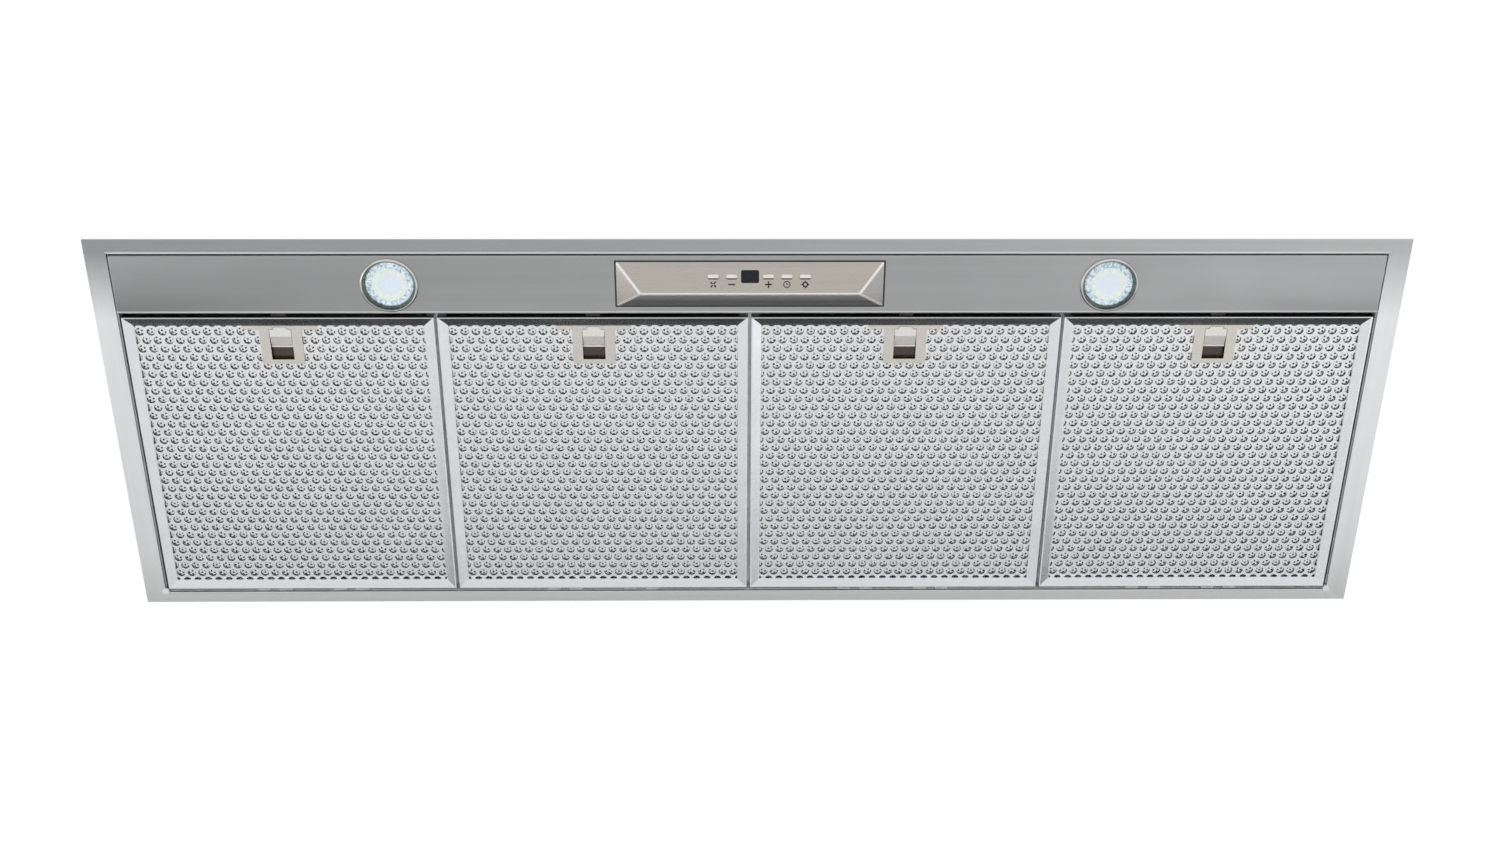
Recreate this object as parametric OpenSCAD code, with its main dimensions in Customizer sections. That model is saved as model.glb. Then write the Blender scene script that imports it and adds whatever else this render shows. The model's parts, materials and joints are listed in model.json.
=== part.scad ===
// Four-filter under cabinet range hood.
// Millimetres, +Z up, -Y towards the cook. The origin is the centre of the rim's
// seating face, the face that lies against the underside of the cabinet.

/* [Rim and canopy] */
// Width across the rim
hood_w = 1200; // [1196:1:1204]
// Depth across the rim, front to back
hood_d = 396; // [394:1:398]
// Rim width at each side
rim_side = 20; // [19:0.5:21]
// Rim width along the front
rim_front = 14; // [13:0.5:15]
// Rim width along the back
rim_rear = 12; // [11:0.5:13]
// Height of the canopy top above the seating face
canopy_h = 72; // [70:1:76]
// How far the upper part of the canopy's front wall leans back
canopy_lean = 24; // [23:1:30]

/* [Control strip] */
// Depth of the strip, front to back
strip_d = 58.4; // [57:0.2:59]
// How far the strip stands below the rim
strip_proud = 2; // [1.5:0.5:3]
// Distance of each lamp from the middle of the hood
lamp_x = 328; // [300:1:360]
// Width of the control pod
pod_w = 244; // [236:2:250]
// How far the pod's ridge stands below the strip
pod_h = 9; // [8:0.5:10]
// Distance between neighbouring buttons
button_pitch = 16.7; // [16:0.1:18]
// Travel of a button
button_travel = 0.8; // [0.5:0.1:0.8]

/* [Grease filters] */
// Number of filters side by side
filter_count = 4; // [4:1:4]
// Width of one filter
filter_w = 286; // [284:0.5:286.5]
// Depth of one filter
filter_d = 302.3; // [300:0.1:303]
// Overall thickness of one filter
filter_h = 10; // [10:0.5:11]
// Travel of a filter latch
latch_travel = 6; // [4:0.5:7]

/* [Blower and duct] */
// Radius of the duct spigot
duct_r = 75; // [74:0.5:76]
// Height of the duct spigot
duct_h = 56; // [50:1:60]
// Height of the motor housing above the canopy
housing_h = 190; // [186:1:192]
// How far the upper part of the housing's front wall leans back
housing_lean = 58; // [57:1:59]
// Outside radius of the fan wheel
wheel_r = 75; // [70:1:77]
// Number of blades round the fan wheel
blade_count = 30; // [24:2:36]

/* [Fixings] */
// Radius of the screw holes in the end panels
side_hole_r = 2.6; // [2:0.1:3]
// Distance between the two holes in an end panel
side_hole_gap = 220; // [200:5:260]
// Radius of the bore for the mains lead
lead_bore_r = 4.25; // [3.5:0.25:5]

/* [Hidden] */
$fn = 48;

sheet = 1;                             // gauge of the sheet metal
rim_t = 2;                             // hemmed edge, two layers
gap = 0.1;                             // clearance of a screw or pin in its hole
screw_r = 1.5;
screw_head_r = 3.2;

// The opening inside the rim
open_x = hood_w / 2 - rim_side;        // half its width
open_y0 = -hood_d / 2 + rim_front;     // front edge
open_y1 = hood_d / 2 - rim_rear;       // back edge
canopy_x = open_x - sheet;             // inside face of the end panels
lean_z = 24;                           // the front wall is upright below this height

// The control strip
strip_z = -rim_t - strip_proud;        // its lower face
strip_y0 = open_y0 + 1.2;
strip_y1 = strip_y0 + strip_d;
strip_mid = (strip_y0 + strip_y1) / 2;
strip_x = canopy_x - 0.2;
strip_wall_top = 22;

// The wedge-shaped control pod, a low hip roof that hangs from the strip
pod_y0 = strip_mid - 23.7;             // front edge of its base
pod_y1 = strip_mid + 20.9;             // back edge of its base
ridge_y = pod_y0 + 28.7;
ridge_x = pod_w / 2 - 22.5;            // half the ridge's length
pod_t = 1.5;                           // wall
front_slope = atan(pod_h / (ridge_y - pod_y0));
rear_slope = atan(pod_h / (pod_y1 - ridge_y));
side_slope = atan(pod_h / (pod_w / 2 - ridge_x));
pod_in_y0 = pod_y0 + pod_t / sin(front_slope);
pod_in_y1 = pod_y1 - pod_t / sin(rear_slope);
pod_in_x = pod_w / 2 - pod_t / sin(side_slope);
pod_in_h = (pod_in_y1 - pod_in_y0) / (1 / tan(front_slope) + 1 / tan(rear_slope));

// Buttons and display, measured down the pod's sloping face from its front edge
button_row = 14;
button_size = [9.6, 4.6];
display_size = [16.2, 11.7];
display_row = 13.75;
BUTTONS = ["button_fan", "button_minus", "button_plus", "button_timer", "button_light"];
BUTTON_STEPS = [-2, -1, 1, 2, 3];      // places along the row, the display is at 0
board_z = 12;                          // depth of the circuit board behind the face
board_t = 1.6;
cover_x = 104;                         // half the width of the box over the board
cover_y0 = pod_y0 + 1;
cover_y1 = pod_y1 + 1.5;
cover_top = 24;
cover_t = 2;

// Lamps
lamp_hole_r = 24.9;
lamp_rim_r = 26.7;
lens_r = 21.9;

// Filters
filter_pitch = 289;
filter_y0 = strip_y1 + 4.3;            // front edge of a filter
filter_y1 = filter_y0 + filter_d;      // back edge
filter_z = -rim_t;                     // lowest face of the frame
frame_w = 9.5;                         // width of the frame's face
screen_z = filter_z + 4;               // lower face of the perforated screen
hinge_y = filter_y1 + 1.4;             // the filter swings about its back tabs
hinge_z = filter_z + 0.5;
tab_x = 38;                            // middle of each pair of tab fingers
tab_z = filter_z + 2;
finger_w = 13;
finger_gap = 9;

// Latch, measured from the front edge of its filter
plate_front = frame_w + 0.7;
plate_w = 39.4;
plate_l = 40;
bar_w = 70;
window_w = 20.6;
window_y0 = 14;
window_y1 = 45.5;
pocket_w = 28;
tongue_w = 13;
tongue_reach = 3.6;

// Motor housing, blower and duct
housing_x = 210;
housing_y0 = -130;
housing_y1 = 170;
housing_top = canopy_h + housing_h;
housing_lean_z = 135;                  // its front wall is upright below this height
duct_y = 35;
duct_in_r = duct_r - 1.2;
cutout_x = 190;
cutout_y0 = -110;
cutout_y1 = 150;
blower_y = duct_y - 55;
blower_z = 150;
scroll_half = 65;
scroll_r0 = 81;                        // at the cut-off
scroll_r1 = 110;                       // at the outlet
scroll_top = housing_top - sheet - blower_z;
outlet_rim = 19;                       // flange round the scroll's outlet
inlet_r = 60;
shaft_r = 4;
damper_z = housing_top + 14;
flap_r = 72;
pin_r = 1.5;                           // the pin the flaps swing on
sleeve_r = 3;
collar_screw_ring = 84;                // radius of the circle of collar screws

// ---------------------------------------------------------------- helpers

// A box from one corner to the opposite one
module box(low, high) {
    translate(low) cube(high - low);
}

// A flat rectangle with round corners, centred
module round_rect(size, r) {
    square([size[0] - 2 * r, size[1]], center = true);
    square([size[0], size[1] - 2 * r], center = true);
    for (x = [-1, 1], y = [-1, 1])
        translate([x * (size[0] / 2 - r), y * (size[1] / 2 - r)]) circle(r, $fn = 24);
}

// Turns a shape drawn in the plane so that it is extruded along X:
// the drawing's x becomes Y and its y becomes Z
module along_x(x0, x1) {
    translate([x0, 0, 0]) rotate([90, 0, 90]) linear_extrude(x1 - x0) children();
}

// The sloping face of the pod: x across, y down the slope, z into the hood
module on_pod_face() {
    translate([0, pod_y0, strip_z]) rotate([-front_slope, 0, 0]) children();
}

// A filter's place: x from its middle, y from its front edge
module at_filter(i) {
    translate([(i - (filter_count + 1) / 2) * filter_pitch, filter_y0, 0]) children();
}

// ---------------------------------------------------------------- casing

module rim_flange() {
    color([0.78, 0.79, 0.80]) difference() {
        union() {
            box([-hood_w / 2, -hood_d / 2, -rim_t], [hood_w / 2, hood_d / 2, 0]);
            box([-open_x - sheet, open_y0 - sheet, -sheet], [open_x + sheet, open_y1 + sheet, 14]);
        }
        box([-open_x, open_y0, -rim_t - 1], [open_x, open_y1, 15]);
        for (x = [-1, 1])
            translate([x * open_x, open_y1 - 1, -rim_t - 1]) cylinder(r = 3.3, h = rim_t + 1);
    }
}

// Nylon studs in the back corners, where the outer filters come to rest
module corner_bumpers() {
    color([0.92, 0.92, 0.90]) for (x = [-1, 1])
        translate([x * open_x, open_y1 - 1, -rim_t - 1.4]) {
            cylinder(r1 = 2.6, r2 = 3.2, h = 0.8);
            translate([0, 0, 0.8]) cylinder(r = 3.2, h = rim_t + 0.55);
        }
}

// Side view of a casing whose front wall leans back above lean_from. Shrunk by inset
// all round, but not at the bottom.
module leaning_profile(y0, y1, z0, z1, lean_from, lean, inset) {
    rise = z1 - lean_from;
    slant = norm([lean, rise]);
    top = z1 - inset;
    front = y0 + inset * slant / rise;     // where the leaning face would start
    bend_z = lean_from - (front - y0 - inset) * rise / lean;
    polygon([
        [y0 + inset, z0], [y0 + inset, bend_z],
        [front + (top - lean_from) * lean / rise, top], [y1 - inset, top], [y1 - inset, z0]
    ]);
}

module canopy_profile(z0, inset) {
    leaning_profile(open_y0, open_y1, z0, canopy_h, lean_z, canopy_lean, inset);
}

// Front wall, top and back wall, folded from one sheet
module canopy_wrap() {
    color([0.74, 0.75, 0.76]) difference() {
        along_x(-canopy_x, canopy_x) canopy_profile(1, 0);
        along_x(-canopy_x - 1, canopy_x + 1) canopy_profile(0, sheet);
        box([-cutout_x, cutout_y0, canopy_h - 2], [cutout_x, cutout_y1, canopy_h + 1]);
        housing_screw_places() translate([0, 0, -2]) cylinder(r = screw_r + gap, h = 4, $fn = 24);
    }
}

// The right end panel: mirrored, it is the left one
module canopy_end() {
    color([0.74, 0.75, 0.76]) {
        difference() {
            along_x(canopy_x, open_x) canopy_profile(1, 0);
            for (y = [-0.5, 0.5])
                translate([canopy_x - 1, y * side_hole_gap, 40]) rotate([0, 90, 0])
                    cylinder(r = side_hole_r, h = sheet + 2);
        }
        box([canopy_x - 12, open_y0 + 34, canopy_h - 2], [canopy_x, open_y1 - 10, canopy_h - 1]);
        box([canopy_x - 12, open_y1 - 2, 22], [canopy_x, open_y1 - 1, canopy_h - 3]);
    }
}

module housing_profile(z0, inset) {
    leaning_profile(housing_y0, housing_y1, z0, housing_top, housing_lean_z, housing_lean, inset);
}

module motor_housing() {
    color([0.72, 0.73, 0.74]) difference() {
        union() {
            along_x(-housing_x, housing_x) housing_profile(canopy_h, 0);
            box([-housing_x - 14, housing_y0 - 14, canopy_h],
                [housing_x + 14, housing_y1 + 14, canopy_h + sheet]);
        }
        along_x(-housing_x + sheet, housing_x - sheet) housing_profile(canopy_h - 1, sheet);
        translate([0, duct_y, housing_top - 2]) cylinder(r = duct_in_r - 0.8, h = 3, $fn = 96);
        housing_screw_places() translate([0, 0, -2]) cylinder(r = screw_r + gap, h = 5, $fn = 24);
        collar_screw_places() translate([0, 0, -3]) cylinder(r = screw_r + gap, h = 5, $fn = 24);
    }
}

// ---------------------------------------------------------------- fasteners

module housing_screw_places() {
    for (x = [-1, 1], y = [-90, 20, 130])
        translate([x * (housing_x + 7), y, canopy_h]) children();
    for (x = [-100, 100], y = [housing_y0 - 7, housing_y1 + 7])
        translate([x, y, canopy_h]) children();
}

module collar_screw_places() {
    for (a = [45 : 90 : 315])
        translate([collar_screw_ring * cos(a), duct_y + collar_screw_ring * sin(a), housing_top])
            children();
}

// A pan-head screw whose head rests at z = 0
module screw() {
    translate([0, 0, -3]) cylinder(r = screw_r, h = 3.5, $fn = 24);
    difference() {
        union() {
            cylinder(r = screw_head_r, h = 1.2, $fn = 24);
            translate([0, 0, 1.2]) cylinder(r1 = screw_head_r, r2 = 2, h = 0.9, $fn = 24);
        }
        for (a = [0, 90]) rotate(a) box([-2, -0.35, 1.1], [2, 0.35, 3]);
    }
}

module screws() {
    color([0.55, 0.56, 0.58]) {
        housing_screw_places() translate([0, 0, sheet]) screw();
        collar_screw_places() translate([0, 0, 1.5]) screw();
    }
}

// ---------------------------------------------------------------- control strip

module control_strip() {
    color([0.62, 0.63, 0.64]) difference() {
        box([-strip_x, strip_y0, strip_z], [strip_x, strip_y1, strip_wall_top]);
        box([-strip_x + sheet, strip_y0 + sheet, strip_z + sheet],
            [strip_x - sheet, strip_y1 - sheet, strip_wall_top + 1]);
        for (x = [-1, 1]) translate([x * lamp_x, strip_mid, strip_z - 1])
            cylinder(r = lamp_hole_r, h = 3, $fn = 96);
        box([-cover_x + 4, pod_in_y0, strip_z - 1], [cover_x - 4, pod_in_y1, strip_z + 2]);
    }
}

// A hip roof, ridge down: its base is the rectangle [-x, x] by [y0, y1] at the strip
module pod_shape(x, y0, y1, h, slope_f, slope_s) {
    intersection() {
        along_x(-x, x) polygon([
            [y0, strip_z], [y0 + h / tan(slope_f), strip_z - h], [y1, strip_z]
        ]);
        translate([0, y1 + 1, 0]) rotate([90, 0, 0]) linear_extrude(y1 - y0 + 2) polygon([
            [-x, strip_z], [x, strip_z],
            [x - h / tan(slope_s), strip_z - h], [-x + h / tan(slope_s), strip_z - h]
        ]);
    }
}

module control_bezel() {
    color([0.80, 0.78, 0.74]) difference() {
        pod_shape(pod_w / 2, pod_y0, pod_y1, pod_h, front_slope, side_slope);
        translate([0, 0, 0.001])
            pod_shape(pod_in_x, pod_in_y0, pod_in_y1, pod_in_h, front_slope, side_slope);
        on_pod_face() {
            for (step = BUTTON_STEPS)
                translate([step * button_pitch, button_row, -1]) linear_extrude(pod_t + 2)
                    round_rect(button_size + [0.3, 0.3], 0.9);
            translate([0, display_row, -1]) linear_extrude(pod_t + 2)
                round_rect(display_size + [0.2, 0.2], 1.6);
        }
    }
}

module display_window() {
    color([0.16, 0.17, 0.19]) on_pod_face() translate([0, display_row, -0.2])
        linear_extrude(pod_t + 0.2) round_rect(display_size, 1.5);
}

// One push button: cap, retaining flange behind the face, stem to its switch
module button(step) {
    color([0.86, 0.85, 0.82]) on_pod_face() translate([step * button_pitch, button_row, 0]) {
        translate([0, 0, -1.2]) linear_extrude(pod_t + 1.25) round_rect(button_size, 0.8);
        translate([0, 0, pod_t + 0.05]) linear_extrude(0.8)
            round_rect(button_size + [2.6, 2.4], 0.8);
        translate([0, 0, pod_t + 0.8]) cylinder(r = 1.5, h = 6.7 - pod_t - 0.8, $fn = 24);
    }
}

// Circuit board with five tact switches and the display module
module control_board() {
    color([0.10, 0.35, 0.18]) on_pod_face() {
        box([-70, 3, board_z], [70, 27, board_z + board_t]);
        for (step = BUTTON_STEPS) translate([step * button_pitch, button_row, 0]) {
            box([-3, -3, 8.5], [3, 3, board_z]);
            translate([0, 0, 7.6]) cylinder(r = 1.7, h = 0.9, $fn = 24);
        }
        box([-7.2, display_row - 5, 4], [7.2, display_row + 5, board_z]);
        box([40, 18, board_z + board_t], [56, 24, board_z + 5]);
    }
}

// Plastic box over the back of the circuit board, with four posts that carry the board
module control_cover() {
    color([0.18, 0.18, 0.19]) {
        difference() {
            box([-cover_x, cover_y0, strip_z + sheet], [cover_x, cover_y1, cover_top]);
            box([-cover_x + cover_t, cover_y0 + cover_t, strip_z],
                [cover_x - cover_t, cover_y1 - cover_t, cover_top - cover_t]);
        }
        intersection() {
            on_pod_face() for (x = [-64, 64], y = [7, 23])
                translate([x, y, board_z + board_t]) cylinder(r = 2.5, h = 40, $fn = 24);
            box([-cover_x, cover_y0, strip_z], [cover_x, cover_y1, cover_top - cover_t / 2]);
        }
    }
}

// ---------------------------------------------------------------- lamps

module lamp_bezel(side) {
    color([0.80, 0.81, 0.82]) translate([side * lamp_x, strip_mid, strip_z])
        rotate_extrude($fn = 96) polygon([
            [lamp_hole_r - 0.2, 0], [lamp_rim_r, 0], [lamp_rim_r, -1], [25.9, -2.2],
            [25, -2.5], [24.2, -2.2], [lens_r + 0.1, 1.5], [lens_r + 0.1, 12],
            [lamp_hole_r - 0.2, 12]
        ]);
}

module lamp_lens(side) {
    color([0.85, 0.93, 0.96, 0.5]) translate([side * lamp_x, strip_mid, strip_z + 1])
        cylinder(r = lens_r, h = 2, $fn = 96);
}

// LED lamp: chip board, heat sink with fins, neck and two contact pins
module lamp_body(side) {
    color([0.90, 0.91, 0.92]) translate([side * lamp_x, strip_mid, strip_z + 3]) {
        cylinder(r = lens_r - 0.4, h = 5, $fn = 96);
        translate([0, 0, 5]) cylinder(r1 = 17, r2 = 11, h = 20, $fn = 48);
        for (a = [0 : 30 : 330]) rotate(a) rotate([90, 0, 0]) translate([0, 0, -0.6])
            linear_extrude(1.2) polygon([[10, 5], [20.5, 5], [13.5, 25], [10, 25]]);
        translate([0, 0, 25]) cylinder(r = 11, h = 12, $fn = 48);
        for (x = [-5, 5]) translate([x, 0, 37]) cylinder(r = 2, h = 6, $fn = 24);
    }
}

module led_driver() {
    color([0.93, 0.93, 0.91]) box([-220, strip_y0 + 28, 46], [-130, strip_y0 + 66, canopy_h - sheet]);
}

// Wires from the driver to the control box
module wiring_loom() {
    drop_x = -70;
    bend = 12;
    wire_y = strip_mid + 12;
    wire_z = 56;
    color([0.12, 0.12, 0.13]) {
        translate([-130, wire_y, wire_z]) rotate([0, 90, 0])
            cylinder(r = 3, h = drop_x - bend + 130, $fn = 24);
        translate([drop_x - bend, wire_y, wire_z - bend]) rotate([90, 0, 0])
            rotate_extrude(angle = 90, $fn = 48) translate([bend, 0]) circle(3, $fn = 24);
        translate([drop_x, wire_y, 24]) cylinder(r = 3, h = wire_z - bend - 24, $fn = 24);
    }
}

// ---------------------------------------------------------------- filter supports

// Channel along the back wall, with a hooked foot under each tab finger
module filter_rail() {
    color([0.70, 0.71, 0.72]) {
        box([-canopy_x + 1, open_y1 - 2, 3.5], [canopy_x - 1, open_y1 - 1, 20]);
        for (i = [1 : filter_count]) at_filter(i) translate([0, -filter_y0, 0]) tab_fingers() {
            box([-finger_w / 2, open_y1 - 1.8, -1.2], [finger_w / 2, open_y1 - 1, 4]);
            box([-finger_w / 2, open_y1 - 3, -1.2], [finger_w / 2, open_y1 - 1, -0.2]);
        }
    }
}

module tab_fingers() {
    for (pair = [-1, 1], finger = [-1, 1])
        translate([pair * tab_x + finger * (finger_w + finger_gap) / 2, 0, 0]) children();
}

// T-shaped bars above the gaps between filters
module divider_bars() {
    color([0.60, 0.61, 0.62]) for (k = [1 : filter_count - 1])
        translate([(k - filter_count / 2) * filter_pitch, 0, filter_z + filter_h + 1.2]) {
            box([-9, strip_y1, 0], [9, open_y1 - 2, 1.2]);
            box([-0.6, strip_y1, 0], [0.6, open_y1 - 2, 10]);
        }
}

// ---------------------------------------------------------------- filters

// Section of the frame: a C channel whose face slopes up towards the screen
module frame_section() {
    polygon([
        [0, 0], [1.4, 0], [frame_w - 1.5, 1.8], [frame_w, 2], [frame_w, 4],
        [frame_w - 1, 4], [frame_w - 1, 2.9], [1.2, 1.1], [1, 1.1], [1, filter_h - 1],
        [frame_w, filter_h - 1], [frame_w, filter_h], [0, filter_h]
    ]);
}

// One side of the frame, mitred at both ends: it runs along +X from the origin
module frame_side(length) {
    intersection() {
        along_x(0, length) frame_section();
        linear_extrude(filter_h) polygon([
            [0, 0], [length, 0], [length - frame_w, frame_w], [frame_w, frame_w]
        ]);
    }
}

module filter_frame() {
    color([0.82, 0.83, 0.84]) {
        difference() {
            translate([0, 0, filter_z]) {
                translate([-filter_w / 2, 0, 0]) frame_side(filter_w);
                translate([filter_w / 2, 0, 0]) rotate(90) frame_side(filter_d);
                translate([filter_w / 2, filter_d, 0]) rotate(180) frame_side(filter_w);
                translate([-filter_w / 2, filter_d, 0]) rotate(-90) frame_side(filter_d);
            }
            box([-tongue_w / 2 - 0.3, -1, screen_z - 0.1], [tongue_w / 2 + 0.3, 2, screen_z + 1.6]);
        }
        tab_fingers() box([-finger_w / 2, filter_d - 0.5, tab_z], [finger_w / 2, filter_d + 2, tab_z + 0.8]);
    }
}

// Room in the screen and the core for the latch
module latch_pocket() {
    box([-pocket_w / 2, -1, screen_z - 1], [pocket_w / 2, plate_front + plate_l - 3, screen_z + 6]);
}

module filter_screen() {
    color([0.86, 0.87, 0.88]) difference() {
        box([-filter_w / 2 + 1.2, 1.2, screen_z], [filter_w / 2 - 1.2, filter_d - 1.2, screen_z + 1]);
        latch_pocket();
    }
}

module filter_core() {
    color([0.70, 0.71, 0.73]) difference() {
        box([-filter_w / 2 + 1.2, 1.2, screen_z + 1],
            [filter_w / 2 - 1.2, filter_d - 1.2, filter_z + filter_h - 1]);
        latch_pocket();
    }
}

// T-shaped plate with the slider's window, and the box behind it that holds the spring
module latch_plate() {
    back_z = filter_z + filter_h - 1.8;
    color([0.80, 0.79, 0.76]) {
        translate([0, 0, screen_z - 1]) linear_extrude(1) difference() {
            union() {
                translate([-plate_w / 2, plate_front]) square([plate_w, plate_l]);
                polygon([
                    [-bar_w / 2, plate_front], [bar_w / 2, plate_front],
                    [bar_w / 2, plate_front + 1.5], [bar_w / 2 - 3, plate_front + 4.3],
                    [-bar_w / 2 + 3, plate_front + 4.3], [-bar_w / 2, plate_front + 1.5]
                ]);
            }
            slider_window();
        }
        difference() {
            box([-pocket_w / 2 + 0.1, 12, screen_z],
                [pocket_w / 2 - 0.1, plate_front + plate_l - 3.1, back_z]);
            box([-pocket_w / 2 + 0.9, 11, screen_z - 1],
                [pocket_w / 2 - 0.9, plate_front + plate_l - 3.9, back_z - 0.8]);
        }
    }
}

module slider_window() {
    translate([-window_w / 2, window_y0]) square([window_w, window_y1 - window_y0]);
    polygon([
        [-7, window_y0 + 0.1], [-5.6, window_y0 - 2.6], [5.6, window_y0 - 2.6], [7, window_y0 + 0.1]
    ]);
}

// Slider: visible finger pad that dips into the pocket, carrier and spring tongue
module latch() {
    pad_w = window_w - 0.8;
    pad_y1 = window_y0 + 7.4;
    dip_y1 = pad_y1 + 11.4;
    color([0.88, 0.88, 0.85]) {
        translate([0, 0, screen_z - 1]) linear_extrude(1.15) {
            translate([-pad_w / 2, window_y0 + 0.4]) square([pad_w, pad_y1 - window_y0 - 0.4]);
            polygon([
                [-6.6, window_y0 + 0.5], [-5.3, window_y0 - 2.2], [5.3, window_y0 - 2.2],
                [6.6, window_y0 + 0.5]
            ]);
        }
        along_x(-pad_w / 2, pad_w / 2) polygon([
            [pad_y1, screen_z - 1], [dip_y1, screen_z + 1.6], [dip_y1, screen_z + 2.8],
            [pad_y1 - 0.4, screen_z + 0.1]
        ]);
        translate([0, dip_y1, screen_z + 2.2]) rotate([0, 90, 0])
            cylinder(r = 1.2, h = pad_w, center = true, $fn = 32);
        box([-tongue_w / 2, -tongue_reach, screen_z + 0.1], [tongue_w / 2, 14, screen_z + 1.3]);
        box([-12, 12.4, screen_z + 0.1], [12, pad_y1 - 0.2, screen_z + 1.3]);
    }
}

// ---------------------------------------------------------------- blower

// The scroll's outline in the YZ plane, with its wall moved in by inset
function scroll_outline(inset, top) = [
    for (a = [0 : 9 : 270])
        let (r = scroll_r1 - (scroll_r1 - scroll_r0) * a / 270 - inset)
        [r * cos(-a), r * sin(-a)],
    [inset, top], [scroll_r1 - inset, top]
];

module at_blower() {
    translate([0, blower_y, blower_z]) children();
}

// Spiral casing, hung from the housing by the flange round its outlet
module blower_scroll() {
    color([0.66, 0.67, 0.68]) difference() {
        at_blower() union() {
            along_x(-scroll_half, scroll_half) polygon(scroll_outline(0, scroll_top));
            box([-scroll_half - outlet_rim, -outlet_rim, scroll_top - sheet],
                [scroll_half + outlet_rim, scroll_r1 + outlet_rim, scroll_top]);
        }
        at_blower() {
            along_x(-scroll_half + sheet, scroll_half - sheet)
                polygon(scroll_outline(sheet, scroll_top + 5));
            rotate([0, 90, 0])
                cylinder(r = inlet_r, h = 2 * scroll_half + 2, center = true, $fn = 96);
        }
        collar_screw_places() translate([0, 0, -5]) cylinder(r = screw_r + gap, h = 6, $fn = 24);
    }
}

module blower_wheel() {
    half = 58;
    color([0.30, 0.31, 0.33]) at_blower() rotate([0, 90, 0]) difference() {
        union() {
            translate([0, 0, -half]) linear_extrude(2 * half)
                for (k = [0 : blade_count - 1]) rotate(k * 360 / blade_count)
                    translate([wheel_r - 10.5, 0]) rotate(35) square([12, 1]);
            for (z = [-half, half - 2]) translate([0, 0, z]) difference() {
                cylinder(r = wheel_r, h = 2, $fn = 96);
                translate([0, 0, -1]) cylinder(r = wheel_r - 8, h = 4, $fn = 96);
            }
            translate([0, 0, -1]) cylinder(r = wheel_r - 1, h = 2, $fn = 96);
            translate([0, 0, -8]) cylinder(r = 11, h = 18, $fn = 48);
        }
        cylinder(r = shaft_r, h = 60, center = true, $fn = 48);
    }
}

module motor_shaft() {
    color([0.50, 0.51, 0.53]) at_blower() rotate([0, 90, 0])
        translate([0, 0, -40]) cylinder(r = shaft_r, h = 54, $fn = 48);
}

// Motor body in the wheel's left half, with cooling ribs and a bearing boss
module blower_motor() {
    color([0.35, 0.37, 0.40]) at_blower() rotate([0, 90, 0]) difference() {
        union() {
            translate([0, 0, -scroll_half]) cylinder(r = 38, h = 46, $fn = 72);
            for (z = [-58 : 6 : -28]) translate([0, 0, z]) cylinder(r = 40, h = 2.5, $fn = 72);
            translate([0, 0, -20]) cylinder(r = 13, h = 8, $fn = 48);
        }
        translate([0, 0, -41]) cylinder(r = shaft_r + 0.05, h = 40, $fn = 48);
    }
}

// Spider that carries the motor in the left inlet
module motor_bracket() {
    color([0.55, 0.56, 0.58]) at_blower() rotate([0, 90, 0])
        translate([0, 0, -scroll_half - 1.5]) linear_extrude(1.5) {
            difference() {
                circle(inlet_r + 8, $fn = 96);
                circle(inlet_r, $fn = 96);
            }
            circle(32, $fn = 72);
            for (a = [90, 210, 330]) rotate(a) translate([25, -6]) square([inlet_r - 20, 12]);
        }
}

module capacitor() {
    color([0.88, 0.88, 0.90]) {
        translate([housing_x - 20, 60, 90]) cylinder(r = 15, h = 58, $fn = 48);
        box([housing_x - 12, 50, 105], [housing_x - sheet, 70, 130]);
        for (y = [55, 65]) translate([housing_x - 20, y, 148]) box([-0.4, -3, 0], [0.4, 3, 7]);
    }
}

// ---------------------------------------------------------------- duct

module at_duct() {
    translate([0, duct_y, 0]) children();
}

// Spigot with its base flange, bosses for the damper pin and two flap stops
module duct_collar() {
    color([0.20, 0.20, 0.21]) at_duct() {
        difference() {
            union() {
                translate([0, 0, housing_top]) cylinder(r = 92, h = 1.5, $fn = 96);
                translate([0, 0, housing_top]) cylinder(r = duct_r, h = duct_h, $fn = 128);
            }
            translate([0, 0, housing_top - 1]) cylinder(r = duct_in_r, h = duct_h + 2, $fn = 128);
            translate([0, -duct_y, 0]) collar_screw_places()
                translate([0, 0, -1]) cylinder(r = screw_r + gap, h = 4, $fn = 24);
        }
        for (s = [-1, 1]) {
            difference() {
                translate([0, s * (duct_in_r - 1.4), damper_z]) rotate([90, 0, 0])
                    cylinder(r = sleeve_r, h = 4, center = true, $fn = 32);
                translate([0, s * (duct_in_r - 2), damper_z]) rotate([90, 0, 0])
                    cylinder(r = pin_r, h = 4, center = true, $fn = 32);
            }
            box([s * 70.2 - 4, -4, damper_z - 3.5], [s * 70.2 + 4, 4, damper_z - 0.6]);
        }
    }
}

module damper_pin() {
    color([0.70, 0.71, 0.73]) at_duct() translate([0, 0, damper_z]) rotate([90, 0, 0])
        cylinder(r = pin_r, h = 2 * duct_in_r - 0.4, center = true, $fn = 32);
}

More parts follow.
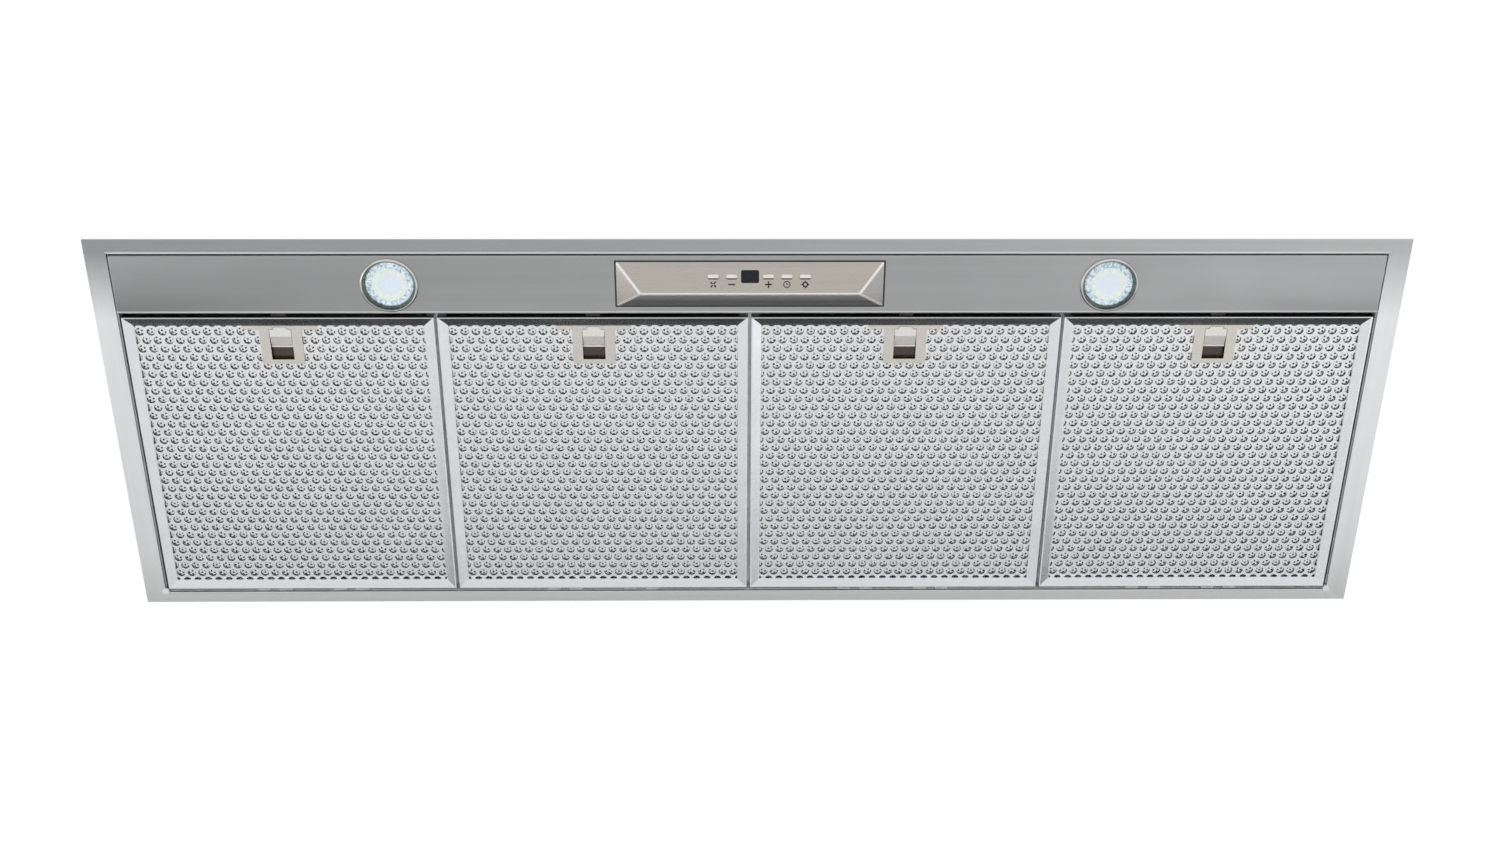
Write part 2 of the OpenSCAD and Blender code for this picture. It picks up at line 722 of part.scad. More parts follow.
// Half-round flap with two sleeves on the pin; side is -1 for the left one
module damper_flap(side) {
    color([0.60, 0.61, 0.63]) at_duct() translate([0, 0, damper_z]) mirror([side < 0 ? 1 : 0, 0, 0]) {
        translate([0, 0, -0.5]) linear_extrude(1) difference() {
            circle(flap_r, $fn = 128);
            translate([-flap_r - 1, -flap_r - 1]) square([flap_r + 1 + 3.4, 2 * flap_r + 2]);
        }
        for (y = [-40, 20]) translate([0, side * y, 0]) {
            difference() {
                rotate([90, 0, 0]) cylinder(r = sleeve_r, h = 18, center = true, $fn = 32);
                rotate([90, 0, 0]) cylinder(r = pin_r + gap, h = 20, center = true, $fn = 32);
            }
            box([2.2, -9, -0.5], [3.6, 9, 0.5]);
        }
    }
}

// ---------------------------------------------------------------- mains connection

module junction_box() {
    color([0.72, 0.73, 0.74]) difference() {
        box([260, 20, canopy_h], [360, 110, canopy_h + 40]);
        box([261.5, 21.5, canopy_h + 1.5], [358.5, 108.5, canopy_h + 41]);
        translate([350, 65, canopy_h + 20]) rotate([0, 90, 0]) cylinder(r = 8, h = 20);
    }
}

module junction_lid() {
    color([0.72, 0.73, 0.74]) difference() {
        union() {
            box([259, 19, canopy_h + 40], [361, 111, canopy_h + 41.5]);
            box([262, 22, canopy_h + 37], [358, 108, canopy_h + 40]);
        }
        box([263, 23, canopy_h + 36], [357, 107, canopy_h + 40]);
    }
}

// Gland screwed into the box's right wall
module cable_gland() {
    color([0.10, 0.10, 0.11]) translate([0, 65, canopy_h + 20]) rotate([0, 90, 0]) difference() {
        union() {
            translate([0, 0, 352]) cylinder(r = 8, h = 10);
            translate([0, 0, 360]) cylinder(r = 12, h = 6, $fn = 6);
            translate([0, 0, 366]) cylinder(r = 9.5, h = 8);
            translate([0, 0, 374]) cylinder(r1 = 9.5, r2 = 7, h = 4);
        }
        translate([0, 0, 350]) cylinder(r = lead_bore_r, h = 30);
    }
}

// ---------------------------------------------------------------- nodes

rim_flange();
canopy_wrap();
mirror([1, 0, 0]) canopy_end();  // canopy_end_left
canopy_end();  // canopy_end_right
motor_housing();
control_strip();
control_bezel();
display_window();
control_board();
control_cover();
filter_rail();
divider_bars();
lamp_bezel(-1);  // lamp_bezel_left
lamp_bezel(1);  // lamp_bezel_right
lamp_lens(-1);  // lamp_lens_left
lamp_lens(1);  // lamp_lens_right
lamp_body(-1);  // lamp_body_left
lamp_body(1);  // lamp_body_right
led_driver();
blower_scroll();
blower_motor();
motor_bracket();
capacitor();
duct_collar();
damper_pin();
cable_gland();
junction_box();
junction_lid();
screws();
corner_bumpers();
wiring_loom();
blower_wheel();
motor_shaft();
damper_flap(-1);  // damper_flap_left
damper_flap(1);  // damper_flap_right
for (k = [0 : len(BUTTONS) - 1])
    button(BUTTON_STEPS[k]);
for (i = [1 : filter_count]) {
    at_filter(i) filter_frame();
    at_filter(i) filter_screen();
    at_filter(i) filter_core();
    at_filter(i) latch_plate();
    at_filter(i) latch();
}
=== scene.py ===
import json
import math

import bmesh
import bpy
from mathutils import Matrix, Vector


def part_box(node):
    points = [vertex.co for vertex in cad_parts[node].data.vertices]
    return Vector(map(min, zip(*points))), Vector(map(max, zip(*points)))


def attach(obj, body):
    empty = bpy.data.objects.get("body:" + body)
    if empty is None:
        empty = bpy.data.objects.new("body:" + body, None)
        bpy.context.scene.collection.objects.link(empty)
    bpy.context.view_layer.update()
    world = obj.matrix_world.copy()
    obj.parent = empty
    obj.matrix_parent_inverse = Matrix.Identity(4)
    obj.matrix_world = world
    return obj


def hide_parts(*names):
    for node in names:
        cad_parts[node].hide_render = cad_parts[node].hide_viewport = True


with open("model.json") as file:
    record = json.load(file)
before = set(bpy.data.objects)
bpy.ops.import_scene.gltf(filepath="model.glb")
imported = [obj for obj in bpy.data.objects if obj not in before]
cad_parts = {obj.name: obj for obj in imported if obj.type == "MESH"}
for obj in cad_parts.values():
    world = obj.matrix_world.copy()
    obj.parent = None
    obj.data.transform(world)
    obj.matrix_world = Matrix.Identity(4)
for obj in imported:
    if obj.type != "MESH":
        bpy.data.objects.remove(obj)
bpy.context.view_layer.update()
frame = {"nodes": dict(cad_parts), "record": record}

# The visual model of the range hood. Most CAD nodes keep their own shape and get a material and
# rounded edges. The strip, the pod, the lenses and the filters' sheets are modelled again here,
# and a dark band of painted shadow round the pod where it meets the strip, the button symbols
# and the lamps' boards and chips are added.

MM = 0.001
TOUCHING = 1e-7
FILTERS = (1, 2, 3, 4)
SIDES = ("left", "right")
BUTTONS = ("fan", "minus", "plus", "timer", "light")


# ---------------------------------------------------------------- mesh helpers

def new_object(name, mesh, body, material):
    """A piece of the hood that rides on a CAD body."""
    piece = bpy.data.objects.new(name, mesh)
    bpy.context.scene.collection.objects.link(piece)
    mesh.materials.clear()
    mesh.materials.append(material)
    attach(piece, body)
    return piece


def mesh_of(name, bm):
    """Turns a bmesh into a mesh with its normals outwards."""
    bmesh.ops.recalc_face_normals(bm, faces=bm.faces)
    mesh = bpy.data.meshes.new(name)
    bm.to_mesh(mesh)
    bm.free()
    return mesh


def prism(bm, outline, low, high, place=Matrix.Identity(4)):
    """Adds a closed prism: outline is a list of (x, y), extruded from z low to z high, and the
    whole is then moved by place."""
    bottom = [bm.verts.new(place @ Vector((x, y, low))) for x, y in outline]
    top = [bm.verts.new(place @ Vector((x, y, high))) for x, y in outline]
    bm.faces.new(list(reversed(bottom)))
    bm.faces.new(top)
    count = len(outline)
    for k in range(count):
        after = (k + 1) % count
        bm.faces.new((bottom[k], bottom[after], top[after], top[k]))


def circle(radius, steps, cx=0.0, cy=0.0, start=0.0):
    """Points round a circle."""
    turn = 2 * math.pi / steps
    return [
        (cx + radius * math.cos(start + turn * k), cy + radius * math.sin(start + turn * k))
        for k in range(steps)
    ]


def round_rect(width, height, radius, steps=5):
    """Points round a rectangle with round corners, centred."""
    points = []
    for corner, (sx, sy) in enumerate(((1, 1), (-1, 1), (-1, -1), (1, -1))):
        for k in range(steps + 1):
            angle = math.pi / 2 * (corner + k / steps)
            points.append((
                sx * (width / 2 - radius) + radius * math.cos(angle),
                sy * (height / 2 - radius) + radius * math.sin(angle),
            ))
    return points


def box_outline(x0, y0, x1, y1):
    """Points round an upright rectangle."""
    return [(x0, y0), (x1, y0), (x1, y1), (x0, y1)]


def cut(mesh, cutter):
    """Cuts one mesh out of another and returns the result."""
    target = bpy.data.objects.new("cut_target", mesh)
    tool = bpy.data.objects.new("cut_tool", cutter)
    for o in (target, tool):
        bpy.context.scene.collection.objects.link(o)
    step = target.modifiers.new("cut", "BOOLEAN")
    step.operation = "DIFFERENCE"
    step.solver = "EXACT"
    step.use_self = True
    step.object = tool
    graph = bpy.context.evaluated_depsgraph_get()
    result = bpy.data.meshes.new_from_object(target.evaluated_get(graph))
    result.name = mesh.name
    for o in (target, tool):
        bpy.data.objects.remove(o)
    return result


def paint_faces(piece, material, chosen):
    """Puts another material on the faces whose normal chosen() accepts."""
    piece.data.materials.append(material)
    index = len(piece.data.materials) - 1
    for face in piece.data.polygons:
        if chosen(face.normal):
            face.material_index = index


def smooth_by_angle(mesh, degrees=35):
    """Smooth shading, with every edge sharper than the angle kept sharp."""
    mesh.shade_smooth()
    mesh.set_sharp_from_angle(angle=math.radians(degrees))


# ---------------------------------------------------------------- perforated sheets

def hex_web(pitch, radius, arc, width, depth, along_y):
    """A flat web between round holes on a hexagonal grid. Each sixth of a hole's edge has arc
    steps. The holes stand in rows along X, or along Y if along_y. Every pair of neighbouring
    holes is joined by a strip of faces, and every three by a triangle."""
    bm = bmesh.new()
    reach = (depth, width) if along_y else (width, depth)
    row_gap = pitch * math.sqrt(3) / 2
    rows = int(reach[1] / 2 / row_gap) + 2
    columns = int(reach[0] / 2 / pitch) + 2
    edge = 6 * arc
    holes = {}
    for j in range(-rows, rows + 1):
        for i in range(-columns - (j + 1) // 2, columns + 1 - j // 2):
            cx, cy = pitch * (i + j / 2), row_gap * j
            holes[i, j] = [
                bm.verts.new((y, x, 0) if along_y else (x, y, 0))
                for x, y in circle(radius, edge, cx, cy, -math.pi / 6)
            ]
    neighbours = ((1, 0), (0, 1), (-1, 1))
    for (i, j), here in holes.items():
        ring = [holes.get((i + di, j + dj)) for di, dj in neighbours]
        for d, there in enumerate(ring):
            if there is None:
                continue
            for m in range(arc):
                a = d * arc + m
                b = (d + 4) * arc - m
                near = (here[a % edge], here[(a + 1) % edge])
                far = (there[b % edge], there[(b - 1) % edge])
                bm.faces.new((near[0], far[0], far[1], near[1]))
        if ring[0] and ring[1]:
            bm.faces.new((here[arc], ring[0][3 * arc], ring[1][5 * arc]))
        if ring[1] and ring[2]:
            bm.faces.new((here[2 * arc], ring[1][4 * arc], ring[2][0]))
    return bm


def trim(bm, x0, y0, x1, y1):
    """Keeps what lies inside the rectangle."""
    for point, normal in (
        ((x0, 0, 0), (-1, 0, 0)), ((x1, 0, 0), (1, 0, 0)),
        ((0, y0, 0), (0, -1, 0)), ((0, y1, 0), (0, 1, 0)),
    ):
        geometry = bm.verts[:] + bm.edges[:] + bm.faces[:]
        bmesh.ops.bisect_plane(bm, geom=geometry, plane_co=point, plane_no=normal, clear_outer=True)


def punch(bm, x0, y0, x1, y1, margin):
    """Removes what lies inside the rectangle. Faces within margin of it are split along its
    sides first."""
    for point, normal in (
        ((x0, 0, 0), (1, 0, 0)), ((x1, 0, 0), (1, 0, 0)),
        ((0, y0, 0), (0, 1, 0)), ((0, y1, 0), (0, 1, 0)),
    ):
        near = [
            f for f in bm.faces
            if x0 - margin < f.calc_center_median().x < x1 + margin
            and y0 - margin < f.calc_center_median().y < y1 + margin
        ]
        edges = {e for f in near for e in f.edges}
        verts = {v for f in near for v in f.verts}
        bmesh.ops.bisect_plane(
            bm, geom=near + list(edges) + list(verts), plane_co=point, plane_no=normal
        )
    inside = [
        f for f in bm.faces
        if x0 < f.calc_center_median().x < x1 and y0 < f.calc_center_median().y < y1
    ]
    bmesh.ops.delete(bm, geom=inside, context="FACES")


def thicken(name, bm, low, high):
    """Turns a flat sheet into a closed plate from z low to z high."""
    loose = [v for v in bm.verts if not v.link_faces]
    bmesh.ops.delete(bm, geom=loose, context="VERTS")
    bm.verts.index_update()
    flat = [(v.co.x, v.co.y) for v in bm.verts]
    faces = []
    for f in bm.faces:
        ring = [v.index for v in f.verts]
        area = sum(
            flat[a][0] * flat[b][1] - flat[b][0] * flat[a][1]
            for a, b in zip(ring, ring[1:] + ring[:1])
        )
        faces.append(ring if area > 0 else ring[::-1])
    bm.free()
    count = len(flat)
    used = {(a, b) for ring in faces for a, b in zip(ring, ring[1:] + ring[:1])}
    walls = [(a, b, b + count, a + count) for a, b in used if (b, a) not in used]
    verts = [(x, y, low) for x, y in flat] + [(x, y, high) for x, y in flat]
    lower = [ring[::-1] for ring in faces]
    upper = [[k + count for k in ring] for ring in faces]
    mesh = bpy.data.meshes.new(name)
    mesh.from_pydata(verts, [], lower + upper + sorted(walls))
    mesh.update()
    return mesh


# ---------------------------------------------------------------- material helpers

RELIEF = 0.2 * MM


class Nodes:
    """A material's node tree, with short ways to add to it."""

    def __init__(self, name, colour, metallic, roughness):
        self.material = bpy.data.materials.new(name)
        self.material.use_nodes = True
        self.tree = self.material.node_tree
        self.shader = self.tree.nodes["Principled BSDF"]
        self.shader.inputs["Base Color"].default_value = (*colour, 1.0)
        self.shader.inputs["Metallic"].default_value = metallic
        self.shader.inputs["Roughness"].default_value = roughness
        self.place = self.tree.nodes.new("ShaderNodeTexCoord").outputs["Object"]

    def link(self, source, target):
        """Joins a node's output to another node's input."""
        self.tree.links.new(source, target)

    def stretch(self, scale, place=None):
        """The object's own coordinates, times a scale on each axis."""
        node = self.tree.nodes.new("ShaderNodeMapping")
        node.inputs["Scale"].default_value = scale
        self.link(place or self.place, node.inputs["Vector"])
        return node.outputs["Vector"]

    def noise(self, scale, detail=3.0, place=None):
        """A noise pattern; scale is one number, or one for each axis."""
        if not isinstance(scale, tuple):
            scale = (scale, scale, scale)
        node = self.tree.nodes.new("ShaderNodeTexNoise")
        node.inputs["Scale"].default_value = 1.0
        node.inputs["Detail"].default_value = detail
        self.link(self.stretch(scale, place), node.inputs["Vector"])
        return node.outputs["Fac"]

    def cells(self, scale):
        """A random tone for each cell of a Voronoi pattern."""
        node = self.tree.nodes.new("ShaderNodeTexVoronoi")
        node.inputs["Scale"].default_value = scale
        self.link(self.place, node.inputs["Vector"])
        grey = self.tree.nodes.new("ShaderNodeRGBToBW")
        self.link(node.outputs["Color"], grey.inputs["Color"])
        return grey.outputs["Val"]

    def spread(self, source, low, high, start=0.3, end=0.7):
        """Maps start..end to low..high."""
        node = self.tree.nodes.new("ShaderNodeMapRange")
        node.inputs["From Min"].default_value = start
        node.inputs["From Max"].default_value = end
        node.inputs["To Min"].default_value = low
        node.inputs["To Max"].default_value = high
        self.link(source, node.inputs["Value"])
        return node.outputs["Result"]

    def blend(self, factor, first, second):
        """A colour between two, each a fixed colour or another node's output."""
        node = self.tree.nodes.new("ShaderNodeMix")
        node.data_type = "RGBA"
        self.link(factor, node.inputs["Factor"])
        for value, name in ((first, "A"), (second, "B")):
            socket = [s for s in node.inputs if s.name == name and s.type == "RGBA"][0]
            if isinstance(value, tuple):
                socket.default_value = (*value, 1.0)
            else:
                self.link(value, socket)
        return [s for s in node.outputs if s.type == "RGBA"][0]

    def math(self, operation, first, second=0.0):
        """One step of arithmetic on numbers or other nodes' outputs."""
        node = self.tree.nodes.new("ShaderNodeMath")
        node.operation = operation
        for value, socket in ((first, node.inputs[0]), (second, node.inputs[1])):
            if isinstance(value, float):
                socket.default_value = value
            else:
                self.link(value, socket)
        return node.outputs[0]

    def bump(self, height, strength, distance=RELIEF):
        """Gives the surface relief that follows a pattern."""
        node = self.tree.nodes.new("ShaderNodeBump")
        node.inputs["Strength"].default_value = strength
        node.inputs["Distance"].default_value = distance
        self.link(height, node.inputs["Height"])
        self.link(node.outputs["Normal"], self.shader.inputs["Normal"])

    def along(self, axis, low, high, start, end):
        """Goes from low to high as the object's own X, Y or Z goes from start to end."""
        return self.spread(self.split()[axis], low, high, start, end)

    def colour(self, source):
        self.link(source, self.shader.inputs["Base Color"])

    def mottle(self, pattern, dark, pale, start=0.3, end=0.7):
        """Colours the surface from dark to pale as a pattern goes from start to end."""
        self.colour(self.blend(self.spread(pattern, 0.0, 1.0, start, end), dark, pale))

    def glow(self, colour, strength):
        """Makes the surface give off a little light."""
        self.shader.inputs["Emission Color"].default_value = (*colour, 1.0)
        self.shader.inputs["Emission Strength"].default_value = strength

    def colour_so_far(self):
        """What feeds the surface's colour now."""
        return self.shader.inputs["Base Color"].links[0].from_socket

    def split(self):
        """The object's own X, Y and Z."""
        node = self.tree.nodes.new("ShaderNodeSeparateXYZ")
        self.link(self.place, node.inputs[0])
        return node.outputs

    def rough(self, source):
        self.link(source, self.shader.inputs["Roughness"])


def shade(colour, factor):
    """A darker or paler version of a colour."""
    return tuple(min(1.0, c * factor) for c in colour)


# ---------------------------------------------------------------- materials

# Noise scales of brushed steel whose grain runs along X or Y, and of moulded plastic.
HAIR = {"X": (8, 1400, 1400), "Y": (1400, 8, 1400)}
STREAK = {"X": (1.2, 90, 90), "Y": (90, 1.2, 90)}
MOULD_GRAIN = 1600
# The rim's grain turns where the distance from its side, times this, is the distance from its end.
RIM_MITRE = 0.65
BUTTON_PALE = (0.90, 0.88, 0.82)


def brushed(name, colour, roughness, grain="X", contrast=0.05, metallic=1.0):
    """Nodes for stainless steel: fine straight grain, broader streaks and faint handling marks."""
    n = Nodes(name, colour, metallic, roughness)
    hair = n.noise(HAIR[grain], 4.0)
    streak = n.noise(STREAK[grain], 3.0)
    marks = n.noise(14, 5.0)
    tone = n.math("ADD", n.math("MULTIPLY", hair, 0.45), n.math("MULTIPLY", streak, 0.55))
    n.mottle(tone, shade(colour, 1 - contrast), shade(colour, 1 + contrast))
    fine_gloss = n.spread(hair, roughness - 0.05, roughness + 0.05)
    n.rough(n.math("ADD", fine_gloss, n.spread(marks, -0.03, 0.05)))
    n.bump(hair, 0.10)
    return n


def brushed_steel(name, colour, roughness, grain="X", contrast=0.05, metallic=1.0):
    """Brushed steel of one even tone."""
    return brushed(name, colour, roughness, grain, contrast, metallic).material


def latch_steel(name, colour, roughness, metallic):
    """Satin latch metal: paler on its face, with painted shade making it dark in the pocket and on the
    tongue.
    """
    n = Nodes(name, colour, metallic, roughness)
    filter_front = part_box("filter_1_frame")[0].y
    pocket_mouth, pocket_floor = 3.1 * MM, 4.0 * MM
    tongue_end, tongue_root = filter_front - 0.2 * MM, filter_front + 0.6 * MM
    # Painted shade: darker deep in the pocket and on the tongue, which sits in the gap behind the strip.
    pocket_shade = n.along("Z", 0.0, 1.0, pocket_mouth, pocket_floor)
    tongue_shade = n.along("Y", 1.0, 0.0, tongue_end, tongue_root)
    dark = n.math("MAXIMUM", pocket_shade, tongue_shade)
    satin = n.noise(700, 3.0)
    face = n.blend(n.spread(satin, 0.0, 1.0), shade(colour, 0.95), shade(colour, 1.04))
    # The dark colour mixed in here is painted shade, not the metal's own colour.
    n.colour(n.blend(dark, face, (0.10, 0.085, 0.07)))
    n.rough(n.spread(satin, roughness - 0.04, roughness + 0.05))
    n.bump(satin, 0.10)
    return n.material


def mitred_place(n, axes, on_side):
    """The object's own coordinates, with X and Y swapped on the rim's two short sides."""
    swapped = n.tree.nodes.new("ShaderNodeCombineXYZ")
    for source, target in ("YX", "XY", "ZZ"):
        n.link(axes[source], swapped.inputs[target])
    choice = n.tree.nodes.new("ShaderNodeMix")
    choice.data_type = "VECTOR"
    n.link(on_side, choice.inputs["Factor"])
    first, second = [s for s in choice.inputs if s.type == "VECTOR" and s.name in "AB"]
    n.link(n.place, first)
    n.link(swapped.outputs[0], second)
    return [s for s in choice.outputs if s.type == "VECTOR"][0]


def rim_painted_light(n, low, high, side_painted_light):
    """Painted light and shade on the rim: dark along the front, more so to the left, and pale along the
    sides and back.
    """
    # These tones are painted shade along the front and painted light on the sides and back.
    front_left_shade, front_right_shade = (0.37, 0.375, 0.38), (0.56, 0.565, 0.57)
    rear_painted_light = (0.80, 0.805, 0.81)
    front_painted_shade = n.blend(n.along("X", 0.0, 1.0, low.x, high.x), front_left_shade, front_right_shade)
    behind_front = n.along("Y", 0.0, 1.0, low.y + 12 * MM, low.y + 80 * MM)
    at_rear = n.along("Y", 0.0, 1.0, high.y - 60 * MM, high.y)
    return n.blend(at_rear, n.blend(behind_front, front_painted_shade, side_painted_light), rear_painted_light)


def rim_steel():
    """The rim: its grain runs along each side, and a painted highlight runs along its inner front edge.
    """
    low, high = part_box("rim_flange")
    side_painted_light, scratched, edge_highlight = (0.94, 0.945, 0.955), (0.30, 0.30, 0.31), (0.80, 0.80, 0.80)
    n = Nodes("rim_steel", side_painted_light, 1.0, 0.34)
    axes = n.split()
    from_side = n.math("SUBTRACT", high.x, n.math("ABSOLUTE", axes["X"]))
    from_end = n.math("SUBTRACT", high.y, n.math("ABSOLUTE", axes["Y"]))
    on_side = n.math("LESS_THAN", n.math("MULTIPLY", from_side, RIM_MITRE), from_end)
    place = mitred_place(n, axes, on_side)
    hair = n.noise(HAIR["X"], 4.0, place)
    streak = n.noise(STREAK["X"], 3.0, place)
    grain = n.math("ADD", n.math("MULTIPLY", hair, 0.5), n.math("MULTIPLY", streak, 0.5))
    # The steel's colour here carries the rim's painted light and shade.
    steel = n.blend(n.spread(grain, 0.0, 0.10), rim_painted_light(n, low, high, side_painted_light), scratched)
    # A painted highlight: a pale band along the inner front edge, where the strip meets the rim.
    strip_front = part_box("control_strip")[0].y
    edge_start = n.along("Y", 0.0, 1.0, strip_front - 3.4 * MM, strip_front - 2.6 * MM)
    edge_end = n.along("Y", 1.0, 0.0, strip_front + 2.0 * MM, strip_front + 3.0 * MM)
    inner_edge = n.math("MULTIPLY", edge_start, edge_end)
    at_front = n.math("MULTIPLY", inner_edge, n.math("SUBTRACT", 1.0, on_side))
    n.colour(n.blend(at_front, steel, edge_highlight))
    n.rough(n.spread(hair, 0.29, 0.41))
    n.bump(hair, 0.10)
    return n.material


def strip_steel():
    """The control strip: brushed along X, with painted shade to the left, painted light to the right and
    a painted highlight on its rear hem.
    """
    low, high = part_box("control_strip")
    # The first colour is painted shade, the second painted light and the third a painted highlight.
    dull, pale, edge_highlight = (0.18, 0.18, 0.185), (0.86, 0.865, 0.88), (0.88, 0.88, 0.87)
    shade_end, shade_share, light_share = -0.2, 0.34, 0.16
    n = brushed("strip_steel", (0.425, 0.43, 0.433), 0.36, contrast=0.06)
    # Painted shade towards the left end and painted light towards the right end.
    on_left = n.along("X", shade_share, 0.0, low.x, shade_end)
    on_right = n.along("X", 0.0, light_share, 0.0, high.x)
    toned = n.blend(on_right, n.blend(on_left, n.colour_so_far(), dull), pale)
    # A painted highlight along the rear hem.
    hem = n.along("Y", 0.0, 1.0, high.y - 3.2 * MM, high.y - 2.4 * MM)
    n.colour(n.blend(hem, toned, edge_highlight))
    return n.material


def frame_steel():
    """Filter frames: bright drawn steel, with painted shade on the front wall that faces the strip."""
    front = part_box("filter_1_frame")[0].y
    n = brushed("frame_steel", (0.83, 0.84, 0.86), 0.20, contrast=0.03)
    # Painted shade: the front wall, in the narrow gap behind the strip, is coloured dark.
    wall = n.along("Y", 1.0, 0.0, front + 0.5 * MM, front + 0.9 * MM)
    n.colour(n.blend(wall, n.colour_so_far(), (0.16, 0.16, 0.165)))
    return n.material


def lamp_ring_steel():
    """The lamps' bezels: polished outside, with painted shade inside where they fall away to the lens.
    """
    low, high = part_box("lamp_bezel_right")
    dip_radius, rim_radius = 24.2 * MM, 24.9 * MM
    n = brushed("lamp_ring_steel", (0.62, 0.63, 0.59), 0.14, contrast=0.02)
    axes = n.split()
    dx = n.math("SUBTRACT", n.math("ABSOLUTE", axes["X"]), (low.x + high.x) / 2)
    dy = n.math("SUBTRACT", axes["Y"], (low.y + high.y) / 2)
    radius = n.math("SQRT", n.math("ADD", n.math("MULTIPLY", dx, dx), n.math("MULTIPLY", dy, dy)))
    # Painted shade in the recess between the bezel and the lens.
    dip_shade = n.spread(radius, 1.0, 0.0, dip_radius, rim_radius)
    n.colour(n.blend(dip_shade, n.colour_so_far(), (0.16, 0.18, 0.17)))
    return n.material


def galvanised():
    """Zinc-coated sheet with its spangle."""
    n = Nodes("galvanised", (0.62, 0.64, 0.65), 1.0, 0.42)
    spangle = n.cells(85)
    n.colour(n.blend(spangle, (0.52, 0.54, 0.56), (0.72, 0.74, 0.75)))
    stain = n.spread(n.noise(25), -0.03, 0.06)
    n.rough(n.math("ADD", n.spread(spangle, 0.34, 0.50, 0.0, 1.0), stain))
    n.bump(spangle, 0.15)
    return n.material


def perforated_steel(name, colour, roughness, crinkle=0.20):
    """Punched sheet: a faint rolled grain, small burrs and dull patches."""
    n = Nodes(name, colour, 1.0, roughness)
    rolled = n.noise((40, 500, 500), 3.0)
    patch = n.noise(30, 4.0)
    n.mottle(patch, shade(colour, 0.93), shade(colour, 1.04))
    fine_gloss = n.spread(rolled, roughness - 0.05, roughness + 0.05)
    n.rough(n.math("ADD", fine_gloss, n.spread(patch, -0.03, 0.05)))
    n.bump(n.noise(900, 2.0), crinkle)
    return n.material


def plastic(name, colour, roughness, texture=0.10):
    """Moulded plastic with a fine spark-eroded texture and slight colour drift."""
    n = Nodes(name, colour, 0.0, roughness)
    drift = n.noise(45, 4.0)
    grain = n.noise(MOULD_GRAIN, 2.0)
    n.mottle(drift, shade(colour, 0.94), shade(colour, 1.05))
    fine_gloss = n.spread(grain, roughness - 0.05, roughness + 0.06)
    n.rough(n.math("ADD", fine_gloss, n.spread(drift, -0.02, 0.03)))
    n.bump(grain, texture)
    return n.material


def pod_rear_steel():
    """The pod's rear facet: brushed, with painted light under the ridge and painted shade towards the
    strip.
    """
    low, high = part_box("control_bezel")
    ridge_share = 0.64
    ridge = low.y + ridge_share * (high.y - low.y)
    n = Nodes("pod_rear_steel", (0.40, 0.40, 0.395), 1.0, 0.30)
    hair = n.noise(HAIR["X"], 4.0)
    # The first blend is painted light and the second painted shade, on one and the same steel.
    shine = n.blend(n.spread(hair, 0.0, 1.0), (0.72, 0.72, 0.71), (0.80, 0.80, 0.79))
    dull = n.blend(n.spread(hair, 0.0, 1.0), (0.30, 0.30, 0.295), (0.36, 0.36, 0.355))
    n.colour(n.blend(n.along("Y", 0.0, 1.0, ridge + 1.0 * MM, ridge + 10.0 * MM), shine, dull))
    n.rough(n.spread(hair, 0.26, 0.36))
    n.bump(hair, 0.10)
    return n.material


def button_plastic():
    """A pale moulded cap with a painted shadow along its rear edge."""
    low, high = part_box("button_fan")
    n = Nodes("button_plastic", BUTTON_PALE, 0.0, 0.36)
    cap_back = high.y - 2.2 * MM
    # Painted shadow: a dark band along the cap's rear edge.
    slot = n.along("Y", 0.0, 1.0, cap_back - 1.4 * MM, cap_back - 1.1 * MM)
    grain = n.noise(MOULD_GRAIN, 2.0)
    cap = n.blend(n.spread(grain, 0.0, 1.0), shade(BUTTON_PALE, 0.95), shade(BUTTON_PALE, 1.04))
    n.colour(n.blend(slot, cap, (0.10, 0.09, 0.08)))
    n.rough(n.spread(grain, 0.30, 0.42))
    n.bump(grain, 0.10)
    return n.material


def enamel(name, colour):
    """Stoved paint on cast metal, with orange peel."""
    n = Nodes(name, colour, 0.0, 0.35)
    n.shader.inputs["Coat Weight"].default_value = 0.3
    peel = n.noise(350, 2.0)
    n.mottle(n.noise(20), shade(colour, 0.9), shade(colour, 1.1))
    n.rough(n.spread(peel, 0.28, 0.42))
    n.bump(peel, 0.15, 0.3 * MM)
    return n.material


def circuit_board():
    """Solder mask with tracks showing through."""
    n = Nodes("circuit_board", (0.03, 0.16, 0.06), 0.0, 0.35)
    tracks = n.noise((420, 60, 60), 1.0)
    n.mottle(tracks, (0.02, 0.13, 0.05), (0.05, 0.24, 0.09), 0.49, 0.51)
    n.rough(n.spread(tracks, 0.28, 0.42))
    n.bump(tracks, 0.2, 0.1 * MM)
    return n.material


def display_glass():
    """Smoked window with a faint haze."""
    n = Nodes("display_glass", (0.016, 0.018, 0.024), 0.0, 0.18)
    n.shader.inputs["Specular IOR Level"].default_value = 0.2
    haze = n.noise(300, 3.0)
    n.mottle(haze, (0.012, 0.014, 0.019), (0.020, 0.023, 0.030))
    n.rough(n.spread(haze, 0.14, 0.24))
    return n.material


def lens_plastic():
    """The middle of the lamp's clear cover, lightly frosted."""
    n = Nodes("lens_plastic", (0.80, 0.90, 0.96), 0.0, 0.12)
    n.shader.inputs["Alpha"].default_value = 0.14
    frost = n.noise(800, 2.0)
    n.mottle(frost, (0.74, 0.86, 0.94), (0.88, 0.94, 0.98))
    n.rough(n.spread(frost, 0.08, 0.18))
    return n.material


